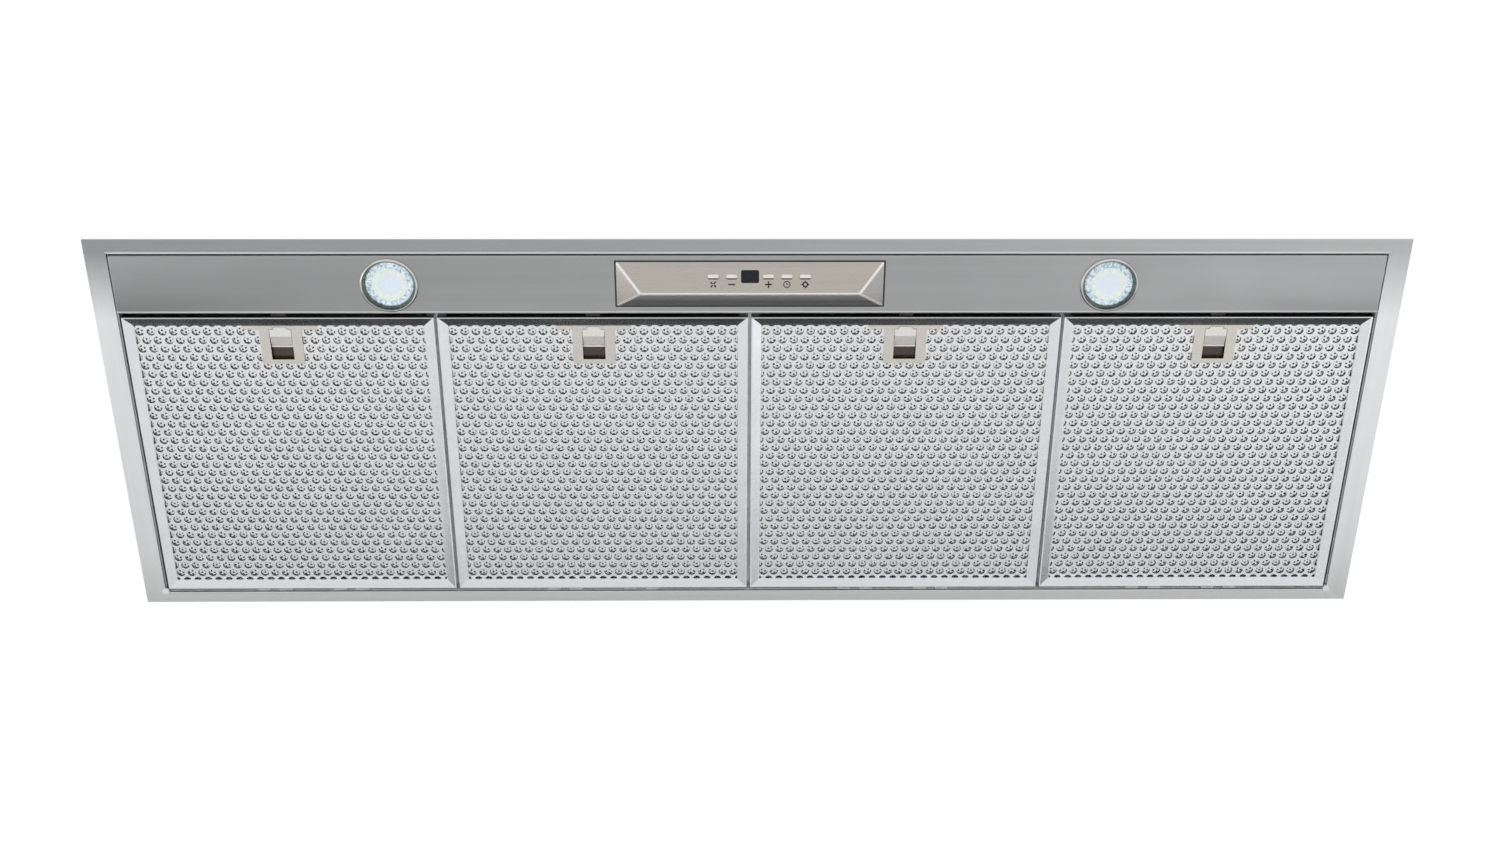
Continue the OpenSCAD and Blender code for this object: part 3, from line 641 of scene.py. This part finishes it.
def lens_prisms():
    """The ribbed edge of the cover, where the light breaks up: a painted sparkle and a faint painted
    glow.
    """
    n = Nodes("lens_prisms", (0.80, 0.90, 0.94), 0.15, 0.16)
    n.shader.inputs["Alpha"].default_value = 0.55
    # Painted glow, and below it painted sparkle from cell to cell.
    n.glow((0.75, 0.95, 1.0), 0.16)
    sparkle = n.cells(620)
    n.mottle(sparkle, (0.22, 0.44, 0.50), (0.99, 1.0, 1.0), 0.2, 0.6)
    n.rough(n.spread(sparkle, 0.10, 0.24, 0.0, 1.0))
    n.bump(sparkle, 0.2, 0.3 * MM)
    return n.material


def lamp_board():
    """The white face under the chips, with a faint painted glow for their light."""
    n = Nodes("lamp_board", (0.84, 0.89, 0.95), 0.0, 0.45)
    # Painted glow standing for the chips' light on the board.
    n.glow((0.80, 0.88, 1.0), 0.22)
    print_grain = n.noise(900, 2.0)
    n.mottle(print_grain, (0.80, 0.86, 0.93), (0.87, 0.92, 0.97))
    n.rough(n.spread(print_grain, 0.40, 0.52))
    return n.material


def led_phosphor():
    """The yellow phosphor of a white LED."""
    n = Nodes("led_phosphor", (0.98, 0.93, 0.50), 0.0, 0.4)
    n.glow((1.0, 0.96, 0.45), 0.25)
    grain = n.noise(2500, 2.0)
    n.mottle(grain, (0.96, 0.90, 0.42), (0.99, 0.95, 0.58))
    n.rough(n.spread(grain, 0.34, 0.48))
    return n.material


def printed_ink():
    """The dark print of the button symbols."""
    n = Nodes("printed_ink", (0.03, 0.028, 0.026), 0.0, 0.55)
    edge = n.noise(2200, 2.0)
    n.mottle(edge, (0.022, 0.020, 0.018), (0.045, 0.042, 0.038))
    n.rough(n.spread(edge, 0.5, 0.62))
    return n.material


# One material for each slot of the record.
MATERIALS = {
    "brushed_steel": rim_steel(),
    "strip_steel": strip_steel(),
    "pod_steel": brushed_steel("pod_steel", (0.555, 0.518, 0.462), 0.28),
    "galvanised": galvanised(),
    "filter_frame": frame_steel(),
    "filter_mesh": perforated_steel("mesh_steel", (0.94, 0.95, 0.965), 0.34),
    "filter_core": perforated_steel("core_steel", (0.98, 0.985, 0.99), 0.34, 0.4),
    "latch_plate": latch_steel("latch_plate_steel", (0.76, 0.73, 0.67), 0.36, 1.0),
    "latch": latch_steel("latch_steel", (0.90, 0.885, 0.84), 0.34, 0.35),
    "display": display_glass(),
    "button": button_plastic(),
    "circuit_board": circuit_board(),
    "dark_plastic": plastic("dark_plastic", (0.035, 0.035, 0.038), 0.45),
    "light_plastic": plastic("light_plastic", (0.84, 0.84, 0.82), 0.42),
    "lamp_ring": lamp_ring_steel(),
    "lens": lens_plastic(),
    "heat_sink": enamel("heat_sink_enamel", (0.82, 0.83, 0.84)),
    "motor": enamel("motor_enamel", (0.10, 0.11, 0.13)),
    "bare_steel": brushed_steel("bare_steel", (0.52, 0.53, 0.55), 0.30),
    "wheel": plastic("wheel_plastic", (0.06, 0.062, 0.068), 0.5),
    "flap": brushed_steel("flap_aluminium", (0.72, 0.73, 0.75), 0.38, grain="Y"),
    "cable": plastic("cable_sheath", (0.02, 0.02, 0.022), 0.5),
}
# Further materials, for single faces and for the pieces modelled here.
INK = printed_ink()
# Painted shade for the walls inside the front sheet's holes.
HOLE_SHADE = perforated_steel("hole_wall_shade", (0.12, 0.12, 0.125), 0.5)
# Painted highlight for the pod's rounded ridges.
RIDGE_HIGHLIGHT = brushed_steel("ridge_highlight", (0.93, 0.93, 0.91), 0.24, contrast=0.02, metallic=0.45)
# Painted light and shade across the pod's rear facet.
POD_REAR = pod_rear_steel()
# A darker copy of the pod's steel: painted shade for its right facet.
POD_END_SHADE = brushed_steel("pod_end_steel", (0.50, 0.495, 0.47), 0.28)
BOARD = lamp_board()
PRISMS = lens_prisms()
PHOSPHOR = led_phosphor()


# ---------------------------------------------------------------- CAD nodes

# Widths of the rounded edges in millimetres. The fan wheel keeps its sharp ones.
EDGE = 0.25
EDGES = {
    "rim_flange": 0.5,
    "duct_collar": 0.4,
    "control_cover": 0.5,
    "led_driver": 1.2,
    "capacitor": 0.6,
    "corner_bumpers": 0.5,
    "screws": 0.15,
    "display_window": 0.25,
    "blower_wheel": 0,
}
EDGES.update({"button_" + name: 0.45 for name in BUTTONS})
# Edges sharper than this many degrees are rounded.
CREASE = 32
FOLD_CREASE = 10
WELD_GAP = 0.000002
FACE_WEIGHT = 100


def dress(node, slot, edge, crease):
    """Gives a CAD node its material and small rounded edges, edge millimetres wide, wherever
    two faces meet at more than crease degrees."""
    o = frame["nodes"][node]
    o.data.materials.clear()
    o.data.materials.append(MATERIALS[slot])
    weld = o.modifiers.new("weld", "WELD")
    weld.merge_threshold = WELD_GAP
    if edge:
        bevel = o.modifiers.new("edge", "BEVEL")
        bevel.width = edge * MM
        bevel.segments = 2
        bevel.limit_method = "ANGLE"
        bevel.angle_limit = math.radians(crease)
        o.data.shade_smooth()
        flat = o.modifiers.new("flat", "WEIGHTED_NORMAL")
        flat.weight = FACE_WEIGHT


def is_folded(node):
    """Filter frames and latches have shallow folds that need their edges rounded too."""
    return node.startswith("filter_") and node.endswith(("frame", "latch"))


for part in frame["record"]["subparts"]:
    node = part["node"]
    dress(node, part["material_slot"], EDGES.get(node, EDGE), FOLD_CREASE if is_folded(node) else CREASE)


# ---------------------------------------------------------------- control strip

SHEET = 1.0 * MM
BEND = 1.6 * MM
LAMP_HOLE = 24.9 * MM
POD_OPENING_INSET = 4 * MM
strip_low, strip_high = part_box("control_strip")
strip_z = strip_low.z
strip_mid = (strip_low.y + strip_high.y) / 2
lamp_x = (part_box("lamp_lens_right")[0].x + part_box("lamp_lens_right")[1].x) / 2


def rounded_box(low, high, radius, segments):
    """A box whose lower edges and upright edges are rounded."""
    bm = bmesh.new()
    prism(bm, box_outline(low.x, low.y, high.x, high.y), low.z, high.z)
    rounded = [e for e in bm.edges if not all(abs(v.co.z - high.z) < TOUCHING for v in e.verts)]
    bmesh.ops.bevel(bm, geom=rounded, offset=radius, segments=segments, affect="EDGES", profile=0.5)
    return bm


def strip_holes():
    """A tool for the two lamp holes and the opening above the pod."""
    bm = bmesh.new()
    below, above = strip_z - SHEET, strip_z + 3 * SHEET
    for side in (-1, 1):
        prism(bm, circle(LAMP_HOLE, 96, side * lamp_x, strip_mid), below, above)
    low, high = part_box("control_cover")
    inset = POD_OPENING_INSET
    opening = box_outline(low.x + inset, low.y + inset, high.x - inset, high.y - inset)
    prism(bm, opening, below, above)
    return mesh_of("hole_tool", bm)


def make_strip():
    """The folded strip: a long tray with bent edges, two lamp holes and the pod's opening."""
    outer = mesh_of("strip_skin", rounded_box(strip_low, strip_high, BEND, 5))
    wall = Vector((SHEET, SHEET, SHEET))
    top = Vector((strip_high.x - SHEET, strip_high.y - SHEET, strip_high.z + SHEET))
    inner = rounded_box(strip_low + wall, top, BEND - SHEET, 3)
    mesh = cut(outer, mesh_of("strip_tool", inner))
    mesh = cut(mesh, strip_holes())
    smooth_by_angle(mesh)
    piece = new_object("strip_skin", mesh, "hood", MATERIALS["strip_steel"])
    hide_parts("control_strip")


make_strip()


# ---------------------------------------------------------------- control pod

pod_low, pod_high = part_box("control_bezel")
POD_HEIGHT = pod_high.z - pod_low.z
RIDGE_FROM_FRONT = 28.7 * MM
RIDGE_FROM_END = 22.5 * MM
RIDGE_ROUNDING = 1.3 * MM
POD_WALL = 1.5 * MM
FRONT_SLOPE = math.atan(POD_HEIGHT / RIDGE_FROM_FRONT)
REAR_SLOPE = math.atan(POD_HEIGHT / (pod_high.y - pod_low.y - RIDGE_FROM_FRONT))
SIDE_SLOPE = math.atan(POD_HEIGHT / RIDGE_FROM_END)
POD_FACE = Matrix.Translation((0, pod_low.y, strip_z)) @ Matrix.Rotation(-FRONT_SLOPE, 4, "X")
# How far from its front edge, along the pod's face, the middles of its details lie.
BUTTON_ROW = 14.0 * MM
WINDOW_ROW = 13.75 * MM
SYMBOL_ROW = 21.0 * MM
# Width, height and corner radius.
BUTTON_SLOT = (9.9 * MM, 4.9 * MM, 0.9 * MM)
WINDOW_SLOT = (16.4 * MM, 11.9 * MM, 1.6 * MM)
SLOT_REACH = 3 * MM
# How far the dark band of painted shadow shows round the pod, and where it lies above and below the
# strip's face.
SHADOW_BAND = 1.1 * MM
SHADOW_BAND_LOW = -0.25 * MM
SHADOW_BAND_HIGH = 0.15 * MM
SHADOW_BAND_CORNER = 1.0 * MM
# The print, from just outside the pod's face to just inside it.
INK_LOW = -0.05 * MM
INK_HIGH = 0.03 * MM


def hip_roof(x, y0, y1, lift):
    """A low roof hanging down, its base at the strip. lift is how far above the strip it starts."""
    bm = bmesh.new()
    height = (y1 - y0) / (1 / math.tan(FRONT_SLOPE) + 1 / math.tan(REAR_SLOPE))
    ridge_y = y0 + height / math.tan(FRONT_SLOPE)
    ridge_x = x - height / math.tan(SIDE_SLOPE)
    base = [bm.verts.new((px, py, strip_z + lift)) for px, py in box_outline(-x, y0, x, y1)]
    ridge = [bm.verts.new((px, ridge_y, strip_z - height)) for px in (-ridge_x, ridge_x)]
    bm.faces.new(base)
    bm.faces.new((base[0], base[1], ridge[1], ridge[0]))
    bm.faces.new((base[2], base[3], ridge[0], ridge[1]))
    bm.faces.new((base[1], base[2], ridge[1]))
    bm.faces.new((base[3], base[0], ridge[0]))
    return bm


def button_x(name):
    """Where a button stands along the pod."""
    low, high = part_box("button_" + name)
    return (low.x + high.x) / 2


def pod_shell():
    """The pod's hollow roof with softened ridges."""
    outer = hip_roof(pod_high.x, pod_low.y, pod_high.y, 0)
    ridges = [e for e in outer.edges if any(v.co.z < strip_z - TOUCHING for v in e.verts)]
    bmesh.ops.bevel(outer, geom=ridges, offset=RIDGE_ROUNDING, segments=4, affect="EDGES", profile=0.5)
    front_in = POD_WALL / math.sin(FRONT_SLOPE)
    rear_in = POD_WALL / math.sin(REAR_SLOPE)
    side_in = POD_WALL / math.sin(SIDE_SLOPE)
    tool = hip_roof(pod_high.x - side_in, pod_low.y + front_in, pod_high.y - rear_in, 0.001 * MM)
    return cut(mesh_of("pod_skin", outer), mesh_of("pod_tool", tool))


def pod_slots():
    """A tool for the five button slots and the window."""
    bm = bmesh.new()
    for name in BUTTONS:
        outline = [(x + button_x(name), y + BUTTON_ROW) for x, y in round_rect(*BUTTON_SLOT)]
        prism(bm, outline, -SLOT_REACH, SLOT_REACH, POD_FACE)
    window = [(x, y + WINDOW_ROW) for x, y in round_rect(*WINDOW_SLOT)]
    prism(bm, window, -SLOT_REACH, SLOT_REACH, POD_FACE)
    return mesh_of("slot_tool", bm)


def paint_pod(piece):
    """A painted highlight on the rounded ridges, painted light and shade on the rear facet, and painted
    shade on the right facet.
    """
    front = Vector((0, -math.sin(FRONT_SLOPE), -math.cos(FRONT_SLOPE)))
    rear = Vector((0, math.sin(REAR_SLOPE), -math.cos(REAR_SLOPE)))
    ends = [Vector((s * math.sin(SIDE_SLOPE), 0, -math.cos(SIDE_SLOPE))) for s in (-1, 1)]
    facets = [front, rear] + ends

    def on_facet(normal, facet):
        return normal.angle(facet) <= math.radians(4)

    def on_ridge(normal):
        hangs_down = normal.z < -0.2
        return hangs_down and not any(on_facet(normal, facet) for facet in facets)

    # Painted highlight on the ridges.
    paint_faces(piece, RIDGE_HIGHLIGHT, on_ridge)
    paint_faces(piece, POD_REAR, lambda normal: on_facet(normal, rear))
    # Painted shade on the right facet.
    paint_faces(piece, POD_END_SHADE, lambda normal: on_facet(normal, ends[1]))


def make_pod():
    """The wedge-shaped pod with its button slots and its window."""
    mesh = cut(pod_shell(), pod_slots())
    smooth_by_angle(mesh, degrees=30)
    piece = new_object("pod_skin", mesh, "hood", MATERIALS["pod_steel"])
    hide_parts("control_bezel")
    paint_pod(piece)


def make_shadow_band():
    """A thin dark band round the pod where it meets the strip: painted shadow."""
    width, depth = pod_high.x - pod_low.x, pod_high.y - pod_low.y
    middle_y = (pod_low.y + pod_high.y) / 2

    def frame_outline(grow):
        points = round_rect(width + grow, depth + grow, SHADOW_BAND_CORNER)
        return [(x, y + middle_y) for x, y in points]

    # A dark band put where the pod meets the strip, standing for the shadow there.
    painted_band = bmesh.new()
    prism(painted_band, frame_outline(2 * SHADOW_BAND), strip_z + SHADOW_BAND_LOW, strip_z + SHADOW_BAND_HIGH)
    hole = bmesh.new()
    prism(hole, frame_outline(-MM), strip_z - MM, strip_z + MM)
    mesh = cut(mesh_of("pod_shadow_band", painted_band), mesh_of("shadow_band_tool", hole))
    new_object("pod_shadow_band", mesh, "hood", MATERIALS["dark_plastic"])


def bar(bm, x, y, width, height, turn=0.0):
    """A flat printed bar on the pod's face, centred on x, y and turned by an angle."""
    spin = Matrix.Translation((x, y, 0)) @ Matrix.Rotation(turn, 4, "Z")
    outline = round_rect(width, height, min(width, height) * 0.3, 3)
    prism(bm, outline, INK_LOW, INK_HIGH, POD_FACE @ spin)


def ring(bm, x, y, outer, inner, steps=36):
    """A flat printed ring on the pod's face."""
    for k in range(steps):
        a, b = 2 * math.pi * k / steps, 2 * math.pi * (k + 1) / steps
        corners = ((inner, a), (outer, a), (outer, b), (inner, b))
        outline = [(x + r * math.cos(t), y + r * math.sin(t)) for r, t in corners]
        prism(bm, outline, INK_LOW, INK_HIGH, POD_FACE)
    bmesh.ops.remove_doubles(bm, verts=bm.verts, dist=TOUCHING)


def petal(bm, x, y, angle):
    """One blade of the fan symbol: its corners as an angle and a radius in millimetres."""
    points = []
    for t, r in ((0.6, 0.7), (0.26, 2.7), (-0.04, 3.8), (-0.34, 2.9), (-0.7, 0.7)):
        points.append((x + r * MM * math.cos(angle + t), y + r * MM * math.sin(angle + t)))
    prism(bm, points[::-1], INK_LOW, INK_HIGH, POD_FACE)


def draw_fan(bm, x, y):
    for k in range(4):
        petal(bm, x, y, math.pi / 4 + k * math.pi / 2)


def draw_minus(bm, x, y):
    bar(bm, x, y, 6.4 * MM, 1.3 * MM)


def draw_plus(bm, x, y):
    bar(bm, x, y, 6.4 * MM, 1.4 * MM)
    bar(bm, x, y, 1.4 * MM, 6.4 * MM)


def draw_timer(bm, x, y):
    ring(bm, x, y, 3.3 * MM, 2.4 * MM)
    bar(bm, x + 0.6 * MM, y, 1.8 * MM, 0.8 * MM)
    bar(bm, x, y - 0.8 * MM, 0.8 * MM, 2.0 * MM)


def draw_light(bm, x, y):
    ring(bm, x, y, 2.8 * MM, 1.3 * MM)
    ray = 3.0 * MM
    for k in range(4):
        angle = k * math.pi / 2
        bar(bm, x + ray * math.cos(angle), y + ray * math.sin(angle), 1.2 * MM, 1.1 * MM, angle)


DRAW = {
    "fan": draw_fan,
    "minus": draw_minus,
    "plus": draw_plus,
    "timer": draw_timer,
    "light": draw_light,
}


def make_symbols():
    """A printed symbol under each button."""
    for name in BUTTONS:
        bm = bmesh.new()
        DRAW[name](bm, button_x(name), SYMBOL_ROW)
        new_object("symbol_" + name, mesh_of("symbol_" + name, bm), "hood", INK)


make_pod()
make_shadow_band()
make_symbols()


# ---------------------------------------------------------------- lamps

LED_COUNT = 12
LED_RING = 13.2 * MM
LED_SIZE = 2.9 * MM
LED_CORNER = 0.5 * MM
LED_HEIGHT = 0.5 * MM
BOARD_RADIUS = 21.4 * MM
BOARD_THICKNESS = 0.4 * MM
BOARD_ROUNDING = 0.08 * MM
FACETS = 48
ROUND_STEPS = 96
LENS_THICKNESS = 1.0 * MM
# Rings of the lens in millimetres: radius, height above its lowest point, rise and fall.
COVER_RINGS = ((0.05, 0.5, 0), (15.4, 0.5, 0), (16.0, 0.2, 0), (16.4, 0.2, 0))
PRISM_RINGS = (
    (16.4, 0.35, 0.0),
    (17.3, 0.45, 0.3),
    (18.9, 0.55, 0.05),
    (20.2, 0.45, 0.3),
    (21.5, 0.7, 0.05),
    (21.85, 0.9, 0.0),
)


def make_board(side, x, top):
    """The white chip board that shows behind the lens."""
    name = "lamp_board_" + side
    bm = bmesh.new()
    prism(bm, circle(BOARD_RADIUS, ROUND_STEPS, x, strip_mid), top - BOARD_THICKNESS, top)
    rims = [e for e in bm.edges if e.calc_face_angle(0) > 1]
    bmesh.ops.bevel(bm, geom=rims, offset=BOARD_ROUNDING, segments=2, affect="EDGES")
    new_object(name, mesh_of(name, bm), "hood", BOARD)


def make_chips(side, x, top):
    """LED chips in a ring, under the board."""
    name = "lamp_chips_" + side
    bm = bmesh.new()
    face = top - BOARD_THICKNESS
    for k in range(LED_COUNT):
        angle = 2 * math.pi * (k + 0.5) / LED_COUNT
        centre = (x + LED_RING * math.cos(angle), strip_mid + LED_RING * math.sin(angle), 0)
        place = Matrix.Translation(centre) @ Matrix.Rotation(angle, 4, "Z")
        prism(bm, round_rect(LED_SIZE, LED_SIZE, LED_CORNER, 3), face - LED_HEIGHT, face, place)
    new_object(name, mesh_of(name, bm), "hood", PHOSPHOR)


def radial_plate(rings, steps, x, low, top):
    """A round plate whose underside follows rings of (radius, height above low, ridge), all in
    millimetres but low and top; ridge is how far it rises and falls from step to step."""
    bm = bmesh.new()

    def loop(radius, heights):
        points = circle(radius * MM, steps, x, strip_mid)
        return [bm.verts.new((px, py, heights[k % 2])) for k, (px, py) in enumerate(points)]

    under = []
    for radius, height, ridge in rings:
        level = low / MM + height
        under.append(loop(radius, (level * MM - ridge * MM, level * MM + ridge * MM)))
    inner, outer = [loop(r[0], (top, top)) for r in (rings[0], rings[-1])]
    belts = list(zip(under, under[1:])) + [(under[-1], outer), (outer, inner), (inner, under[0])]
    for a, b in belts:
        for k in range(steps):
            after = (k + 1) % steps
            bm.faces.new((a[k], b[k], b[after], a[after]))
    bmesh.ops.recalc_face_normals(bm, faces=bm.faces)
    return bm


def make_lens(side, x, low):
    """The clear cover, and round it a ring of radial prisms in two rows."""
    top = low + LENS_THICKNESS
    cover = radial_plate(COVER_RINGS, ROUND_STEPS, x, low, top)
    prisms = radial_plate(PRISM_RINGS, 2 * FACETS, x, low, top)
    for part, bm, material in (("cover", cover, MATERIALS["lens"]), ("prisms", prisms, PRISMS)):
        name = f"lens_{part}_{side}"
        mesh = mesh_of(name, bm)
        smooth_by_angle(mesh, degrees=12)
        piece = new_object(name, mesh, "hood", material)
        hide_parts("lamp_lens_" + side)


for side in SIDES:
    lens_low, lens_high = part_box("lamp_lens_" + side)
    middle = (lens_low.x + lens_high.x) / 2
    make_board(side, middle, lens_high.z)
    make_chips(side, middle, lens_high.z)
    make_lens(side, middle, lens_low.z)


# ---------------------------------------------------------------- filter sheets

HOLE_PITCH = 10.35 * MM
HOLE_RADIUS = 4.0 * MM
FINE_PITCH = 3.6 * MM
FINE_RADIUS = 1.15 * MM
FINE_INSET = 5 * MM
# The opening for the latch's spring box: half its width, and its end from the filter's front.
POCKET_HALF = 14.05 * MM
POCKET_END = 47.25 * MM


def filter_sheet(name, pitch, radius, arc, low, high, along_y=False, inset=0.0, slide=0.0):
    """One perforated sheet from z low to z high, in the first filter's place. inset keeps it off
    the frame, and slide shifts its holes along X."""
    screen_low, screen_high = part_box("filter_1_screen")
    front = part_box("filter_1_frame")[0].y
    cx, cy = (screen_low.x + screen_high.x) / 2, (screen_low.y + screen_high.y) / 2
    width = screen_high.x - screen_low.x - 2 * inset
    depth = screen_high.y - screen_low.y - 2 * inset
    bm = hex_web(pitch, radius, arc, width + pitch, depth + pitch, along_y)
    bmesh.ops.translate(bm, verts=bm.verts, vec=(cx + slide, cy, 0))
    trim(bm, cx - width / 2, cy - depth / 2, cx + width / 2, cy + depth / 2)
    punch(bm, cx - POCKET_HALF, front - MM, cx + POCKET_HALF, front + POCKET_END, 2 * pitch)
    return thicken(name, bm, low, high)


def front_sheet():
    """The sheet that shows, with round holes."""
    low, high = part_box("filter_1_screen")
    return filter_sheet("front", HOLE_PITCH, HOLE_RADIUS, 4, low.z, high.z - 0.2 * MM)


def fine_sheet():
    """The finer sheet that shows through the front one's holes."""
    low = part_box("filter_1_core")[0].z
    return filter_sheet("fine", FINE_PITCH, FINE_RADIUS, 1, low + 0.6 * MM, low + 1.0 * MM,
                        along_y=True, inset=FINE_INSET)


def back_sheet():
    """The sheet at the back, with its holes between those of the front one."""
    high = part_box("filter_1_core")[1].z
    return filter_sheet("back", HOLE_PITCH, HOLE_RADIUS, 2, high - 0.7 * MM, high - 0.05 * MM,
                        slide=HOLE_PITCH / 2)


def is_hole_wall(normal):
    """The upright faces inside a sheet's holes."""
    return abs(normal.z) < 0.5


def make_filters():
    """Three sheets in each filter: round holes, fine holes, and round holes again at the back."""
    layers = (
        ("front", "screen", "filter_mesh", front_sheet()),
        ("fine", "core", "filter_core", fine_sheet()),
        ("back", "core", "filter_core", back_sheet()),
    )
    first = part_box("filter_1_frame")[0].x
    for number in FILTERS:
        body = f"filter_{number}"
        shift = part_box(body + "_frame")[0].x - first
        for layer, node, slot, mesh in layers:
            piece = new_object(f"{body}_{layer}", mesh.copy(), body, MATERIALS[slot])
            piece.data.transform(Matrix.Translation((shift, 0, 0)))
            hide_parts(f"{body}_{node}")
            if layer == "front":
                # Painted shade on the walls of the holes.
                paint_faces(piece, HOLE_SHADE, is_hole_wall)


make_filters()


# ---------------------------------------------------------------- camera, floor and light

FLOOR_Z = -6.0
FLOOR_HALF = 16
# Fitted to the photograph: place in metres, turn in degrees, focal length in millimetres.
CAMERA_PLACE = (-0.0228, -0.9164, -1.577)
CAMERA_TURN = (150.04, 0.688, -0.296)
CAMERA_LENS = 45.955


def area_light(name, place, target, size, power):
    """A soft box at place that points at target."""
    data = bpy.data.lights.new(name, "AREA")
    data.shape = "RECTANGLE"
    data.size, data.size_y = size
    data.energy = power
    lamp = bpy.data.objects.new(name, data)
    bpy.context.scene.collection.objects.link(lamp)
    lamp.location = place
    lamp.rotation_euler = (Vector(target) - Vector(place)).to_track_quat("-Z", "Y").to_euler()


def stage_object(name, bm, paint):
    """A piece of the studio, not of the hood."""
    mesh = mesh_of(name, bm)
    mesh.materials.append(paint)
    item = bpy.data.objects.new(name, mesh)
    bpy.context.scene.collection.objects.link(item)
    return item


def studio_paint(name, tone, dark, pale, roughness, patch):
    """A matt grey with faint patches."""
    n = Nodes(name, (tone,) * 3, 0.0, roughness)
    n.mottle(n.noise(patch), (dark,) * 3, (pale,) * 3)
    return n.material


def make_floor():
    """A plain pale floor, far below the hood."""
    bm = bmesh.new()
    outline = box_outline(-FLOOR_HALF, -FLOOR_HALF, FLOOR_HALF, FLOOR_HALF)
    prism(bm, outline, FLOOR_Z - 0.05, FLOOR_Z)
    stage_object("floor", bm, studio_paint("floor_paint", 0.88, 0.87, 0.89, 0.7, 0.8))


def make_card(name, centre, size, tone):
    """An upright card behind the hood; it only shows in reflections."""
    bm = bmesh.new()
    half_w, half_h, thick = size[0] / 2, size[1] / 2, 0.02
    x, y, z = centre
    prism(bm, box_outline(x - half_w, y - thick, x + half_w, y + thick), z - half_h, z + half_h)
    card = stage_object(name, bm, studio_paint(name + "_felt", tone, tone * 0.9, tone * 1.1, 0.9, 3))
    card.visible_camera = False


def make_world():
    """Even white light from all round."""
    world = bpy.data.worlds.new("studio")
    world.use_nodes = True
    background = world.node_tree.nodes["Background"]
    background.inputs["Color"].default_value = (1, 1, 1, 1)
    background.inputs["Strength"].default_value = 1.0
    bpy.context.scene.world = world


def make_camera():
    """The camera below and in front of the hood, as in the photograph."""
    data = bpy.data.cameras.new("camera")
    data.sensor_width = 36.0
    data.lens = CAMERA_LENS
    data.clip_start, data.clip_end = 0.05, 100.0
    camera = bpy.data.objects.new("camera", data)
    bpy.context.scene.collection.objects.link(camera)
    camera.location = CAMERA_PLACE
    camera.rotation_euler = tuple(math.radians(a) for a in CAMERA_TURN)
    bpy.context.scene.camera = camera


make_floor()
make_world()
make_camera()
make_card("dark_card_back", centre=(0.0, 3.0, -2.1), size=(9.0, 2.4), tone=0.02)
make_card("grey_card_back", centre=(0.0, 3.1, -0.1), size=(9.0, 1.6), tone=0.40)
area_light("box_right", place=(2.0, 1.8, -4.0), target=(0.5, -0.1, 0.0), size=(0.9, 1.4), power=1.0)
area_light("box_left", place=(-3.4, 0.6, -2.4), target=(-0.3, 0.0, 0.0), size=(1.2, 2.4), power=10.0)
bpy.context.scene.view_settings.view_transform = "Standard"
